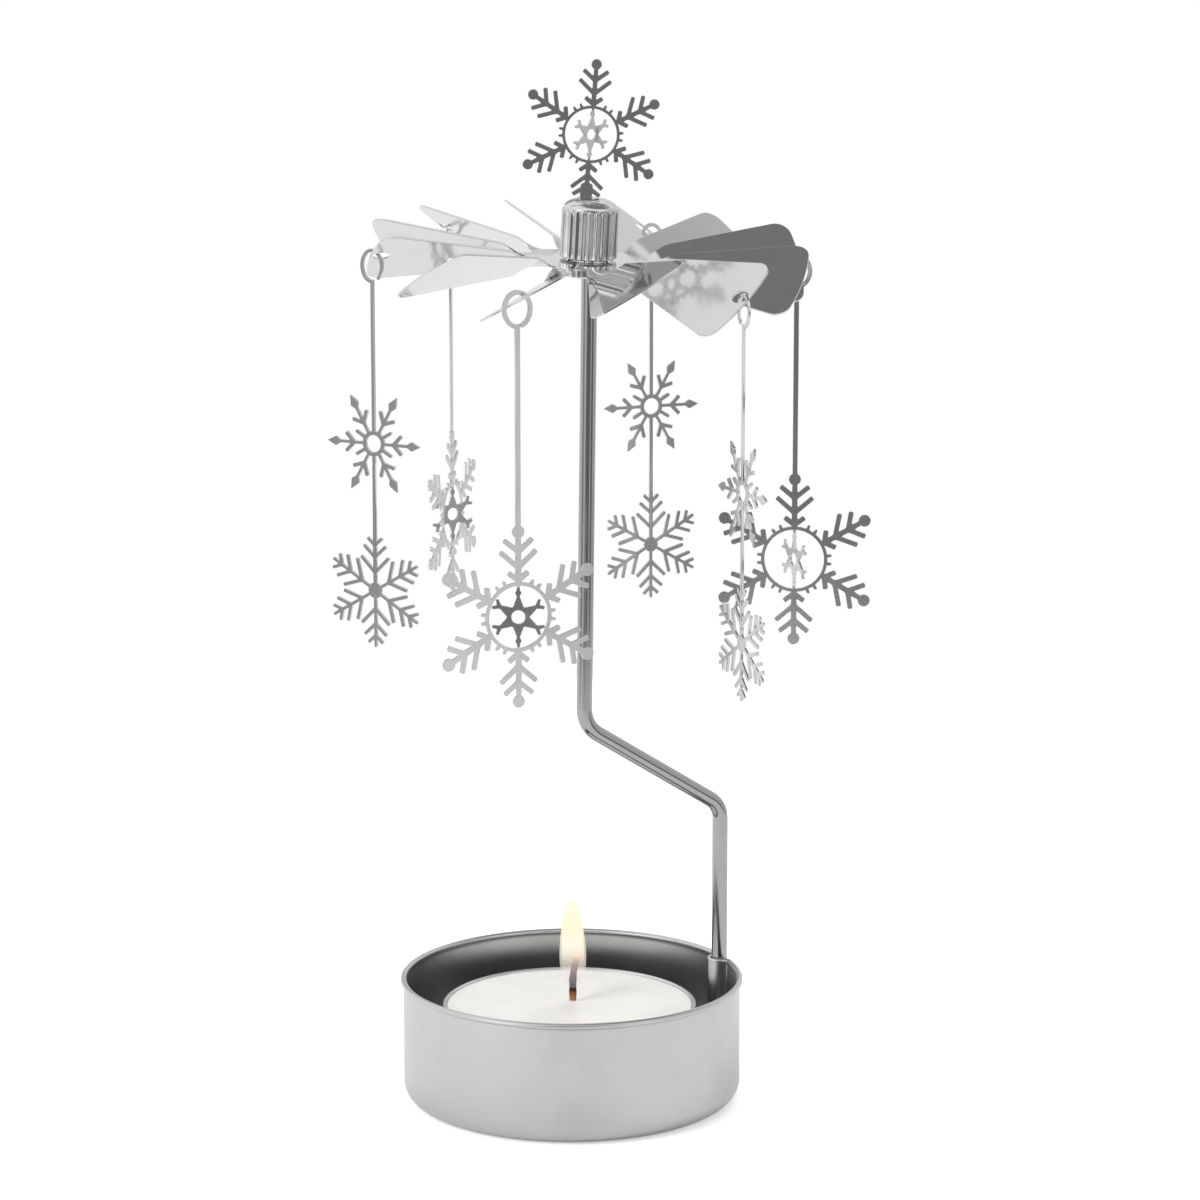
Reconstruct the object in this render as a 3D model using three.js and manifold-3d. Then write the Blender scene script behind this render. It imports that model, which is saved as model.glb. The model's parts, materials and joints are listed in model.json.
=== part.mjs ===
// Rotating candle holder. A pressed cup holds a tealight and, in its wall, one bent wire.
// The wire rises over the candle to a needle point, and a fan wheel with hanging
// snowflakes turns on that point in the warm air.
// Millimetres, +Z up. The origin is the middle of the cup's underside.

import Module from 'manifold-3d';
import * as THREE from 'three';
import { mergeVertices } from 'three/addons/utils/BufferGeometryUtils.js';

const wasm = await Module();
wasm.setup();
const { degToRad, smoothstep } = THREE.MathUtils;

// Clearances
const seatGap = 0.3; // between pieces that rest on, or turn in, each other
const slotGap = 0.15; // on each face of a sheet tab in its slot
const hookGap = 0.32; // between a hook's inside and the sheet that carries it
const passing = 1; // how far a cutting tool runs past what it cuts
const weld = 0.2; // how far two stretches of one piece run into each other

// Cup
const cupRadius = 25.15;
const cupHeight = 18.4;
const cupWall = 0.4;
const cupCorner = 2.5;
const rimBead = 0.45; // radius of the rolled rim's bead
const rimOverhang = 0.4;
const strapLow = 8; // the band pressed outward, between the two grooves
const strapHigh = 11;
const lanceSlit = 0.4; // open slit above and below that band

// Wire arm
const wireRadius = 1.17;
const footInset = 0.85; // of the wire's axis from the cup's outer face
const footAzimuth = degToRad(23);
const footZ = 5.3;
const lowerBendZ = 42.1;
const lowerBendRadius = 4;
const upperBendX = 1.9;
const upperBendZ = 56.4;
const upperBendRadius = 5;
const needleX = 2.8;
const needleZ = 130.83;
const needleLength = 4;
const needleTipRadius = 0.12;
const coneShare = 0.9; // of the wire's radius, at the foot of the point's cone

// Fan wheel, measured from the wheel's mid-plane up its own leaning axis
const leanFront = degToRad(3.65); // of the axis's top towards -Y
const leanRight = degToRad(3.02); // and towards +X
const needleAboveWheel = 5.6;
const sheet = 0.3;
const wheelRadius = 32.05;
const bladeCount = 12;
const firstBlade = degToRad(13.3);
const bladeHalfAngle = degToRad(14.3);
const bladeRoot = 8.7;
const twistEnd = 13;
const twistSteps = 3;
const bladePitch = degToRad(32.4);
const tipCorner = 2.2;
const hookHoleRadius = 1.2;
const hookHoleBridge = 0.42; // sheet left between a hook's hole and the round edge
const hookHoleAside = 0.8; // of the hole from its blade's middle, to the raised side

// Blades that a hand has bent a little, by number from the first blade
const handBends = new Map([
  [0, { lift: 0, pitch: degToRad(8) }],
  [8, { lift: -1, pitch: 0 }],
  [9, { lift: 1.2, pitch: 0 }],
  [10, { lift: -1.1, pitch: degToRad(5.5) }],
]);

// Hub, in heights along the wheel's axis
const spigotRadius = 3;
const spigotLow = -2;
const clampHigh = -0.45;
const clampLow = -2.2;
const clampLugRadius = 3.9;
const clampWaist = 0.45; // how far the ring dips between its lugs
const clampLugs = 6;
const skirtLow = 0.45;
const skirtHigh = 7.6;
const skirtRadius = 4.15;
const ribDepth = 0.3;
const ribCount = 24;
const ribShare = 0.5; // of each rib's pitch that stands out
const lugShare = 0.6;
const domeHigh = 9.15;
const domeShoulder = { out: 0.84, up: 0.58 }; // as shares of the dome's radius and height
const domeCrown = { out: 0.46, up: 0.91 };
const capBore = 2.3;
const slotFloor = 6.9;
const capRoof = 0.3; // between the bore and the slot
const bearingHeight = 2.1;
const coneMouth = 1.5;
const coneSeat = 0.25;

// Stamped snowflakes
const flakeSheet = 0.35;
const topFlakeScale = 0.836;
const topFlakeShift = -0.85; // of the slot from the cap's axis
const topFlakeLean = degToRad(1.7);
const topFlakeRise = 11; // from the tab's foot to the flake's centre
const topStarTurn = 40; // of the inner star about the vertical, in degrees
const tabHalf = 0.88;
const tabStart = 8.3; // along the lowest arm, where it begins to widen into the tab
const tabFull = 8.6;

// The large snowflake: a toothed ring, six arms that end in balls, and a star inside.
const largeFlake = {
  ringOuter: 4.95,
  ringInner: 4.42,
  stemHalf: 0.42,
  ballAlong: 12,
  ballRadius: 1,
  neckHalf: 0.36,
};
const ringTooth = { spread: 6.7, foot: 4, tip: 2, radius: 5.6 }; // the angles in degrees
const star = { hub: 1.65, hole: 0.95, armHalf: 0.74, neckHalf: 0.22 };
const starArm = [[2.85, 0.28], [3.68, 0.86], [3.99, 0.56], [3.45, 0]];
const starLozenge = { low: 2.9, wide: 3.4, high: 3.9, half: 0.48 }; // on each neck

// A side branch: where it leaves the arm, where its tip lies along the arm and out
// from it, and its width.
const ringBarb = { root: 5.15, along: 6.3, across: 1.5, width: 0.8 };
const middleBarb = { root: 6.95, along: 9.3, across: 2.7, width: 0.76 };
const ballBarb = { root: 9.2, along: 10.95, across: 2.15, width: 0.78 };
const tabBarb = { root: 8.9, along: 10.5, across: 2.35, width: 0.76 };
const tipRound = 0.8; // how far a branch's rounding runs back, as a share of its half width

// The upper small snowflake: kite-shaped arm ends and short spikes round a ring.
const kite = {
  ringOuter: 1.88,
  ringInner: 1.22,
  stemHalf: 0.25,
  neck: 5.75,
  wide: 6.45,
  wideHalf: 0.74,
  tip: 8,
  spikeHalf: 0.28,
  spikeTip: 3.55,
};
const kiteBarb = { root: 3.35, along: 4.75, across: 1.4, width: 0.62 };

// The lower small snowflake: six feathered arms.
const fern = { hub: 1.27, stemHalf: 0.26, tip: 8.4 };
const fernBarbs = [
  { root: 2.65, along: 4.95, across: 2.4, width: 0.58 },
  { root: 4.9, along: 6.6, across: 1.9, width: 0.56 },
  { root: 6.6, along: 7.75, across: 1.25, width: 0.54 },
];

// Hooks and how far the snowflakes hang below a hook's centre
const singleHook = { halfX: 2.25, halfZ: 2.7, strip: 0.68, stemHalf: 0.38, gap: 0.35 };
const doubleHook = { halfX: 1.95, halfZ: 2.5, strip: 0.55, stemHalf: 0.28, gap: 0.8 };
const singleDrop = 42.9;
const upperDrop = 25.6;
const lowerDrop = 47.1;

// Every pendant hangs from its own blade. Its plane runs out from the hole at this
// azimuth, and the inner star of a single one is turned about the vertical.
const pendants = [
  { name: 'pendant_single_a', blade: 0, azimuth: -7, starTurn: -58 },
  { name: 'pendant_double_a', blade: 2, azimuth: 24 },
  { name: 'pendant_single_b', blade: 4, azimuth: 74, starTurn: -36 },
  { name: 'pendant_double_b', blade: 6, azimuth: 150 },
  { name: 'pendant_single_c', blade: 8, azimuth: 203, starTurn: -23 },
  { name: 'pendant_double_c', blade: 10, azimuth: 293 },
];

// Tealight
const lightX = -0.35;
const shellWall = 0.3;
const shellTopRadius = 18.7;
const shellFootRadius = 18.3;
const shellCorner = 1.4;
const shellBead = 0.35;
const shellHeight = 13.3;
const waxHeight = 12.5;
const wickRadius = 0.55;
const wickX = 0.5; // from the tealight's axis
const wickY = 3;
const wickTop = 21.3;
const wickBend = 1;
const wickBendLow = 16;
const baseDiscRadius = 6.5;
const baseDisc = 0.3;
const collarWall = 0.6;
const collarHeight = 3;

// Facets round the turned pieces, and steps along bent ones
const cupFacets = 44;
const lightFacets = 36;
const hubFacets = 24;
const holeFacets = 12;
const boreFacets = 20;
const ringFacets = 24;
const starFacets = 10;
const wireSides = 8;
const wireSteps = 72;
const wickSteps = 12;
const cornerSteps = 4;
const innerCornerSteps = 3;
const beadSteps = 7;
const shellBeadSteps = 5;
const hookSteps = 16;
const ballSteps = 3;

// Helpers

function vec2(x, y) {
  return new THREE.Vector2(x, y);
}

// Points on an arc in the plane, from one angle in degrees to another.
function arc(x, y, radius, from, to, steps) {
  const points = [];
  for (let step = 0; step <= steps; step += 1) {
    const angle = degToRad(from + ((to - from) * step) / steps);
    points.push(vec2(x + radius * Math.cos(angle), y + radius * Math.sin(angle)));
  }
  return points;
}

// A point at a distance and an angle in degrees.
function spoke(radius, at) {
  return vec2(radius * Math.cos(degToRad(at)), radius * Math.sin(degToRad(at)));
}

// A closed solid from any closed geometry: only positions are kept, shared points are
// joined, flat slivers dropped, and the faces turned outwards.
function solid(geometry) {
  const bare = geometry.clone();
  bare.deleteAttribute('normal');
  bare.deleteAttribute('uv');
  const merged = mergeVertices(bare, 1e-4);
  const position = merged.getAttribute('position');
  const index = merged.getIndex().array;
  const corner = [new THREE.Vector3(), new THREE.Vector3(), new THREE.Vector3()];
  const kept = [];
  let volume = 0;
  for (let i = 0; i < index.length; i += 3) {
    const [a, b, c] = [index[i], index[i + 1], index[i + 2]];
    if (a !== b && b !== c && c !== a) {
      kept.push([a, b, c]);
      corner.forEach((point, k) => point.fromBufferAttribute(position, [a, b, c][k]));
      volume += corner[0].dot(corner[1].cross(corner[2]));
    }
  }
  const outward = volume < 0 ? kept.map(([a, b, c]) => [a, c, b]) : kept;
  return new wasm.Manifold(
    new wasm.Mesh({
      numProp: 3,
      vertProperties: new Float32Array(position.array),
      triVerts: new Uint32Array(outward.flat()),
    }),
  );
}

function geometryOf(body) {
  const mesh = body.getMesh();
  const geometry = new THREE.BufferGeometry();
  geometry.setAttribute('position', new THREE.BufferAttribute(mesh.vertProperties, 3));
  geometry.setIndex(new THREE.BufferAttribute(mesh.triVerts, 1));
  geometry.computeVertexNormals();
  return geometry;
}

// An upright cylinder between two heights.
function rod(radius, low, high, sides, x = 0, y = 0) {
  const geometry = new THREE.CylinderGeometry(radius, radius, high - low, sides);
  geometry.rotateX(Math.PI / 2);
  geometry.translate(x, y, (low + high) / 2);
  return solid(geometry);
}

// A profile of radius and height turned about +Z.
function turned(profile, sides) {
  return solid(new THREE.LatheGeometry(profile, sides).rotateX(Math.PI / 2));
}

// A flat outline pushed up between two heights.
function slab(shape, low, high) {
  const geometry = new THREE.ExtrudeGeometry(shape, { depth: high - low, bevelEnabled: false });
  return solid(geometry.translate(0, 0, low));
}

// A stamped outline, x across and y up, as an upright sheet centred on the XZ plane.
function stamping(shape) {
  const geometry = new THREE.ExtrudeGeometry(shape, { depth: flakeSheet, bevelEnabled: false });
  return geometry.translate(0, 0, -flakeSheet / 2).rotateX(Math.PI / 2);
}

function finish(color, roughness, metalness) {
  return new THREE.MeshStandardMaterial({ color, roughness, metalness });
}

const brightMetal = finish(0xc9c9cb, 0.14, 1);
const satinMetal = finish(0xb9b9bb, 0.3, 1);
const wireMetal = finish(0x8e8f92, 0.22, 1);
const tinMetal = finish(0xbfc0c0, 0.35, 1);
const bearingGlass = finish(0xd9dcdf, 0.1, 0);
const paleWax = finish(0xf1efe9, 0.5, 0);
const wickCotton = finish(0x2a201c, 0.9, 0);

function piece(name, body, material) {
  const mesh = new THREE.Mesh(geometryOf(body), material);
  mesh.name = name;
  return mesh;
}

// Cup: a pressed shell with a rolled rim. Where the wire stands, the wall is cut away
// round it and pressed inward into two grooves, with a band pressed outward between.

const footRadius = cupRadius - footInset;
const foot = vec2(footRadius * Math.cos(footAzimuth), footRadius * Math.sin(footAzimuth));
const wireHole = wireRadius + seatGap;

function cupShell() {
  const inner = cupRadius - cupWall;
  const beadX = cupRadius + rimOverhang - rimBead;
  const beadZ = cupHeight - rimBead;
  const outerMeet = (Math.acos((cupRadius - beadX) / rimBead) * 180) / Math.PI;
  const innerMeet = (Math.acos((beadX - inner) / rimBead) * 180) / Math.PI;
  return turned(
    [
      vec2(0, 0),
      ...arc(cupRadius - cupCorner, cupCorner, cupCorner, -90, 0, cornerSteps),
      ...arc(beadX, beadZ, rimBead, -outerMeet, 180 + innerMeet, beadSteps),
      ...arc(cupRadius - cupCorner, cupCorner, cupCorner - cupWall, 0, -90, innerCornerSteps),
      vec2(0, cupWall),
    ],
    cupFacets,
  );
}

function candleCup() {
  const around = (radius, low, high) => rod(radius, low, high, boreFacets, foot.x, foot.y);
  const grooveFloor = footZ - seatGap;
  const hole = around(wireHole, grooveFloor, cupHeight + passing);
  const withinWall = rod(cupRadius, 0, cupHeight, cupFacets);
  const withinBore = rod(cupRadius - cupWall, 0, cupHeight, cupFacets);
  const sleeve = (low, high) => around(wireHole + cupWall, low, high);
  const lowGroove = sleeve(grooveFloor - cupWall, strapLow - lanceSlit).intersect(withinWall);
  const highGroove = sleeve(strapHigh + lanceSlit, cupHeight - rimBead).intersect(withinWall);
  const strap = sleeve(strapLow, strapHigh).subtract(withinBore);
  return cupShell().add(lowGroove).add(highGroove).add(strap).subtract(hole);
}

// Wire arm: up out of the cup's wall, slanting in over the candle, then up to its point.

const needleTip = new THREE.Vector3(needleX, 0, needleZ);

function bentPath(start, bends, end) {
  const path = new THREE.CurvePath();
  let from = start;
  bends.forEach(({ at, radius }, i) => {
    const next = i + 1 < bends.length ? bends[i + 1].at : end;
    const incoming = at.clone().sub(i > 0 ? bends[i - 1].at : start).normalize();
    const outgoing = next.clone().sub(at).normalize();
    const reach = radius * Math.tan(incoming.angleTo(outgoing) / 2);
    const before = at.clone().addScaledVector(incoming, -reach);
    const after = at.clone().addScaledVector(outgoing, reach);
    path.add(new THREE.LineCurve3(from, before));
    path.add(new THREE.QuadraticBezierCurve3(before, at, after));
    from = after;
  });
  path.add(new THREE.LineCurve3(from, end));
  return path;
}

function tube(path, radius, sides, steps) {
  const section = new THREE.Shape(arc(0, 0, radius, 0, 360 - 360 / sides, sides - 1));
  return solid(
    new THREE.ExtrudeGeometry(section, { steps, extrudePath: path, bevelEnabled: false }),
  );
}

function standArm() {
  const lowerBend = new THREE.Vector3(foot.x, foot.y, lowerBendZ);
  const upperBend = new THREE.Vector3(upperBendX, 0, upperBendZ);
  const up = needleTip.clone().sub(upperBend).normalize();
  const shoulder = needleTip.clone().addScaledVector(up, -needleLength);
  const path = bentPath(
    new THREE.Vector3(foot.x, foot.y, footZ),
    [
      { at: lowerBend, radius: lowerBendRadius },
      { at: upperBend, radius: upperBendRadius },
    ],
    shoulder,
  );
  const coneLength = needleLength + weld;
  const coneFoot = wireRadius * coneShare;
  const cone = new THREE.CylinderGeometry(needleTipRadius, coneFoot, coneLength, holeFacets);
  cone.translate(0, -coneLength / 2, 0);
  const turn = new THREE.Quaternion().setFromUnitVectors(new THREE.Vector3(0, 1, 0), up);
  cone.applyQuaternion(turn).translate(...needleTip.toArray());
  return tube(path, wireRadius, wireSides, wireSteps).add(solid(cone));
}

// Fan wheel: one flat sheet, slit into blades, each twisted just outside the hub.

const bladeStep = (2 * Math.PI) / bladeCount;

function bladeAngle(blade) {
  return firstBlade + blade * bladeStep;
}

function bentBlade(blade) {
  return handBends.get(blade) ?? { lift: 0, pitch: 0 };
}

// The point of a blade that lies, on the flat sheet, at these distances along the
// blade and across it. above is the height over the sheet's mid-plane.
function bladePoint(blade, along, across, above = 0) {
  const distance = Math.hypot(along, across);
  const bend = bentBlade(blade);
  const pitch = smoothstep(distance, bladeRoot, twistEnd) * (bladePitch + bend.pitch);
  const tip = Math.max(0, (along - twistEnd) / (wheelRadius - twistEnd));
  const sideways = across * Math.cos(pitch) - above * Math.sin(pitch);
  const height = across * Math.sin(pitch) + above * Math.cos(pitch) + tip * bend.lift;
  const angle = bladeAngle(blade);
  return new THREE.Vector3(
    along * Math.cos(angle) - sideways * Math.sin(angle),
    along * Math.sin(angle) + sideways * Math.cos(angle),
    height,
  );
}

// Where the rounded corner of a blade passes, as angle from the blade's middle and radius.
function cornerStations() {
  const centreRadius = wheelRadius - tipCorner;
  const lean = Math.asin(tipCorner / centreRadius);
  return [0, 0.5, 1].map((part) => {
    const turn = part * (Math.PI / 2 + lean);
    const along = centreRadius + tipCorner * Math.cos(turn);
    const across = tipCorner * Math.sin(turn);
    const angle = bladeHalfAngle - lean + Math.atan2(across, along);
    return { angle, radius: Math.hypot(along, across) };
  });
}

function bladeColumns() {
  const corner = cornerStations();
  const mirrored = corner.map(({ angle, radius }) => ({ angle: -angle, radius })).reverse();
  return [...mirrored, { angle: 0, radius: wheelRadius }, ...corner];
}

function fanSheet() {
  const columns = bladeColumns();
  const last = columns.length - 1;
  const rows = twistSteps + 2;
  const half = sheet / 2;
  const corners = [];
  const quad = (a, b, c, d) => corners.push(a, b, c, a, c, d);
  const hub = (blade, column, above) => {
    const angle = bladeAngle(blade) + bladeStep * (column / last - 0.5);
    const radius = spigotRadius + seatGap;
    return new THREE.Vector3(radius * Math.cos(angle), radius * Math.sin(angle), above);
  };
  const grid = (blade, column, row, above) => {
    const { angle, radius } = columns[column];
    const inner = bladeRoot + ((twistEnd - bladeRoot) * row) / twistSteps;
    const distance = row < rows - 1 ? inner : radius;
    const along = distance * Math.cos(angle);
    return bladePoint(blade, along, distance * Math.sin(angle), above);
  };
  for (let blade = 0; blade < bladeCount; blade += 1) {
    const next = (blade + 1) % bladeCount;
    const at = (column, row, above) => grid(blade, column, row, above);
    for (let i = 0; i < last; i += 1) {
      for (let row = 0; row < rows - 1; row += 1) {
        quad(at(i, row, half), at(i, row + 1, half), at(i + 1, row + 1, half), at(i + 1, row, half));
        quad(at(i, row, -half), at(i + 1, row, -half), at(i + 1, row + 1, -half), at(i, row + 1, -half));
      }
      const out = rows - 1;
      quad(at(i, out, -half), at(i + 1, out, -half), at(i + 1, out, half), at(i, out, half));
      const [a, b] = [i, i + 1];
      quad(hub(blade, a, half), at(a, 0, half), at(b, 0, half), hub(blade, b, half));
      quad(hub(blade, a, -half), hub(blade, b, -half), at(b, 0, -half), at(a, 0, -half));
      quad(hub(blade, a, half), hub(blade, b, half), hub(blade, b, -half), hub(blade, a, -half));
    }
    for (let row = 0; row < rows - 1; row += 1) {
      quad(at(0, row, -half), at(0, row + 1, -half), at(0, row + 1, half), at(0, row, half));
      quad(at(last, row, half), at(last, row + 1, half), at(last, row + 1, -half), at(last, row, -half));
    }
    const across = (above) => grid(next, 0, 0, above);
    corners.push(hub(blade, last, half), at(last, 0, half), across(half));
    corners.push(hub(blade, last, -half), across(-half), at(last, 0, -half));
    quad(at(last, 0, -half), across(-half), across(half), at(last, 0, half));
  }
  return solid(new THREE.BufferGeometry().setFromPoints(corners));
}

const hookHoleAlong = wheelRadius - hookHoleBridge - hookHoleRadius;

function bladeWheel() {
  let wheel = fanSheet();
  for (const { blade } of pendants) {
    const low = bladePoint(blade, hookHoleAlong, hookHoleAside, -sheet - passing);
    const high = bladePoint(blade, hookHoleAlong, hookHoleAside, sheet + passing);
    const axis = high.clone().sub(low);
    const punch = new THREE.CylinderGeometry(hookHoleRadius, hookHoleRadius, axis.length(), holeFacets);
    const up = new THREE.Vector3(0, 1, 0);
    const turn = new THREE.Quaternion().setFromUnitVectors(up, axis.normalize());
    const middle = low.add(high).multiplyScalar(0.5);
    wheel = wheel.subtract(solid(punch.applyQuaternion(turn).translate(...middle.toArray())));
  }
  return wheel;
}

// Hub: a ribbed cap whose spigot passes the wheel, a toothed ring that holds it from
// below, and a hard insert whose cone sits on the needle.

function toothedOutline(outer, inner, count, toothShare) {
  const points = [];
  for (let tooth = 0; tooth < count; tooth += 1) {
    const middle = (360 * tooth) / count;
    const half = (180 / count) * toothShare;
    const rest = 180 / count - half;
    points.push(...arc(0, 0, outer, middle - half, middle + half, 1));
    points.push(...arc(0, 0, inner, middle + half + rest / 2, middle + half + 1.5 * rest, 1));
  }
  return points;
}

function topSlot() {
  const slot = new THREE.BoxGeometry(
    2 * (tabHalf + seatGap),
    flakeSheet + 2 * slotGap,
    domeHigh - slotFloor + passing,
  );
  slot.translate(topFlakeShift, 0, (domeHigh + slotFloor + passing) / 2);
  return solid(slot);
}

const boreHigh = slotFloor - capRoof;

function hubCap() {
  const domeFoot = skirtRadius - ribDepth;
  const ribs = new THREE.Shape(toothedOutline(skirtRadius, domeFoot, ribCount, ribShare));
  const domePoint = ({ out, up }) =>
    vec2(domeFoot * out, skirtHigh + (domeHigh - skirtHigh) * up);
  const dome = turned(
    [
      vec2(0, skirtHigh - weld),
      vec2(domeFoot, skirtHigh - weld),
      vec2(domeFoot, skirtHigh),
      domePoint(domeShoulder),
      domePoint(domeCrown),
      vec2(0, domeHigh),
    ],
    hubFacets,
  );
  const spigot = rod(spigotRadius, spigotLow, skirtLow + weld, hubFacets);
  const bore = rod(capBore, spigotLow - passing, boreHigh, hubFacets);
  return slab(ribs, skirtLow, skirtHigh).add(dome).add(spigot).subtract(bore).subtract(topSlot());
}

function hubClamp() {
  const waist = clampLugRadius - clampWaist;
  const outline = toothedOutline(clampLugRadius, waist, clampLugs, lugShare);
  const ring = slab(new THREE.Shape(outline), clampLow, clampHigh);
  return ring.subtract(
    rod(spigotRadius + seatGap, clampLow - passing, clampHigh + passing, hubFacets),
  );
}

const bearingHigh = boreHigh - seatGap;

function pivotBearing() {
  const low = bearingHigh - bearingHeight;
  const radius = capBore - seatGap;
  const seat = needleAboveWheel + seatGap;
  return turned(
    [
      vec2(0, seat),
      vec2(coneSeat, seat),
      vec2(coneMouth, low),
      vec2(radius, low),
      vec2(radius, bearingHigh),
      vec2(0, bearingHigh),
    ],
    boreFacets,
  );
}

// Snowflakes: arms round a ring or a hub. Each arm is a list of points on its right
// side, as distance along the arm and half width, and is mirrored for its left side.

// A side branch of an arm: where its two edges leave the stem, and its rounded tip.
function barb(stemHalf, { root, along, across, width }) {
  const length = Math.hypot(along - root, across);
  const [ca, cs] = [(along - root) / length, across / length];
  const half = width / 2;
  const place = (out, side) => [
    root + ca * out + side * cs * half,
    cs * out - side * ca * half,
  ];
  const foot = (side) => place((stemHalf + side * ca * half) / cs, side);
  const shoulder = length - tipRound * half;
  return [foot(-1), place(shoulder, -1), [along, across], place(shoulder, 1), foot(1)];
}

// The rounded end of a straight arm.
function roundEnd(tip, half) {
  return [
    [tip - half, half],
    [tip - half * (1 - Math.SQRT1_2), half * Math.SQRT1_2],
    [tip, 0],
  ];
}

// The outline of a round middle with arms, counter-clockwise. tooth adds two blunt
// teeth in each space between two arms.
function flakeOutline(middle, arms, scale, tooth = null) {
  const ordered = [...arms].sort((a, b) => a.at - b.at);
  const points = [];
  ordered.forEach((arm, i) => {
    const direction = degToRad(arm.at);
    const place = (along, side) =>
      vec2(
        along * Math.cos(direction) - side * Math.sin(direction),
        along * Math.sin(direction) + side * Math.cos(direction),
      );
    const rootAlong = Math.sqrt(middle ** 2 - arm.half ** 2);
    const outside = arm.right.filter(([along]) => along > rootAlong);
    const right = [[rootAlong, arm.half], ...outside];
    const left = right.filter(([, side]) => side > 0).reverse();
    points.push(...right.map(([along, side]) => place(along, -side)));
    points.push(...left.map(([along, side]) => place(along, side)));
    const next = ordered[(i + 1) % ordered.length];
    const swing = (half) => (Math.asin(half / middle) * 180) / Math.PI;
    const from = arm.at + swing(arm.half);
    const to = (i + 1 < ordered.length ? next.at : next.at + 360) - swing(next.half);
    const centre = (from + to) / 2;
    if (tooth) {
      for (const side of [-1, 1]) {
        const at = centre + side * tooth.spread;
        points.push(spoke(middle, at - tooth.foot), spoke(tooth.radius, at - tooth.tip));
        points.push(spoke(tooth.radius, at + tooth.tip), spoke(middle, at + tooth.foot));
      }
    } else {
      points.push(spoke(middle, centre));
    }
  });
  return points.map((point) => point.multiplyScalar(scale));
}

function ringShape(outline, holeRadius, holeSides) {
  const shape = new THREE.Shape(outline);
  shape.holes.push(new THREE.Path(arc(0, 0, holeRadius, 0, 360 - 360 / holeSides, holeSides - 1)));
  return shape;
}

function largeFlakeArm(at) {
  const { stemHalf, ballAlong, ballRadius, neckHalf } = largeFlake;
  const neck = (Math.asin(neckHalf / ballRadius) * 180) / Math.PI;
  const ball = arc(ballAlong, 0, ballRadius, 180 - neck, 0, ballSteps);
  const edge = ball.map(({ x, y }) => [x, y]);
  edge[edge.length - 1][1] = 0;
  const barbs = [ringBarb, middleBarb, ballBarb].flatMap((size) => barb(stemHalf, size));
  return { at, half: stemHalf, right: [...barbs, ...edge] };
}

// The lowest arm of the top snowflake widens into the tab that stands in the cap.
function tabArm(scale) {
  const { stemHalf } = largeFlake;
  const wide = tabHalf / scale;
  return {
    at: 270,
    half: stemHalf,
    right: [
      ...barb(stemHalf, ringBarb),
      ...barb(stemHalf, middleBarb),
      [tabStart, stemHalf],
      [tabFull, wide],
      ...barb(wide, tabBarb),
      [topFlakeRise / scale, wide],
    ],
  };
}

// The small star inside the ring, joined to it above and below by thin necks, each
// with a lozenge on it.
function innerStar(scale) {
  const reach = (largeFlake.ringInner + largeFlake.ringOuter) / 2;
  const half = star.armHalf;
  const neck = [
    [starLozenge.low, star.neckHalf],
    [starLozenge.wide, starLozenge.half],
    [starLozenge.high, star.neckHalf],
    [reach, star.neckHalf],
  ];
  const arms = [30, 150, 210, 330].map((at) => ({ at, half, right: starArm }));
  const necks = [90, 270].map((at) => ({ at, half, right: neck }));
  const outline = flakeOutline(star.hub, [...arms, ...necks], scale);
  return ringShape(outline, star.hole * scale, starFacets);
}

function starFlake(scale, arms, starTurn) {
  const { ringOuter, ringInner } = largeFlake;
  const outline = flakeOutline(ringOuter, arms, scale, ringTooth);
  const ring = ringShape(outline, ringInner * scale, ringFacets);
  const turnedStar = stamping(innerStar(scale)).rotateZ(degToRad(starTurn));
  return solid(stamping(ring)).add(solid(turnedStar));
}

function topSnowflake() {
  const arms = [30, 90, 150, 210, 330].map(largeFlakeArm);
  const flake = starFlake(topFlakeScale, [...arms, tabArm(topFlakeScale)], topStarTurn);
  return flake.translate([0, 0, topFlakeRise]);
}

// The C-shaped hook and its stem, from the hook's middle. x runs outward, and the gap
// faces the wheel's axis.
function hookShape(hook, stemFoot) {
  const { halfX, halfZ, strip, stemHalf, gap } = hook;
  const [innerX, innerZ] = [halfX - strip, halfZ - strip];
  const middleX = halfX - strip / 2;
  const end = 360 - (Math.acos(-(stemHalf + gap) / middleX) * 180) / Math.PI;
  const start = (-Math.acos(stemHalf / halfX) * 180) / Math.PI;
  const inside = (-Math.acos(-stemHalf / innerX) * 180) / Math.PI;
  const squeeze = (x, z) => (point) => vec2(point.x * x, point.y * z);
  const bow = (x, z, from, to, steps) => arc(0, 0, 1, from, to, steps).map(squeeze(x, z));
  const tipTurn = (strip / 2 / middleX) * (180 / Math.PI);
  return new THREE.Shape([
    vec2(stemHalf, stemFoot),
    ...bow(halfX, halfZ, start, end, hookSteps),
    squeeze(middleX, halfZ - strip / 2)(spoke(1, end + tipTurn)),
    ...bow(innerX, innerZ, end, inside, hookSteps),
    vec2(-stemHalf, stemFoot),
  ]);
}

function singlePendant({ starTurn }) {
  const arms = [30, 90, 150, 210, 270, 330].map(largeFlakeArm);
  const hook = solid(stamping(hookShape(singleHook, largeFlake.ballAlong - singleDrop)));
  return starFlake(1, arms, starTurn).translate([0, 0, -singleDrop]).add(hook);
}

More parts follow.
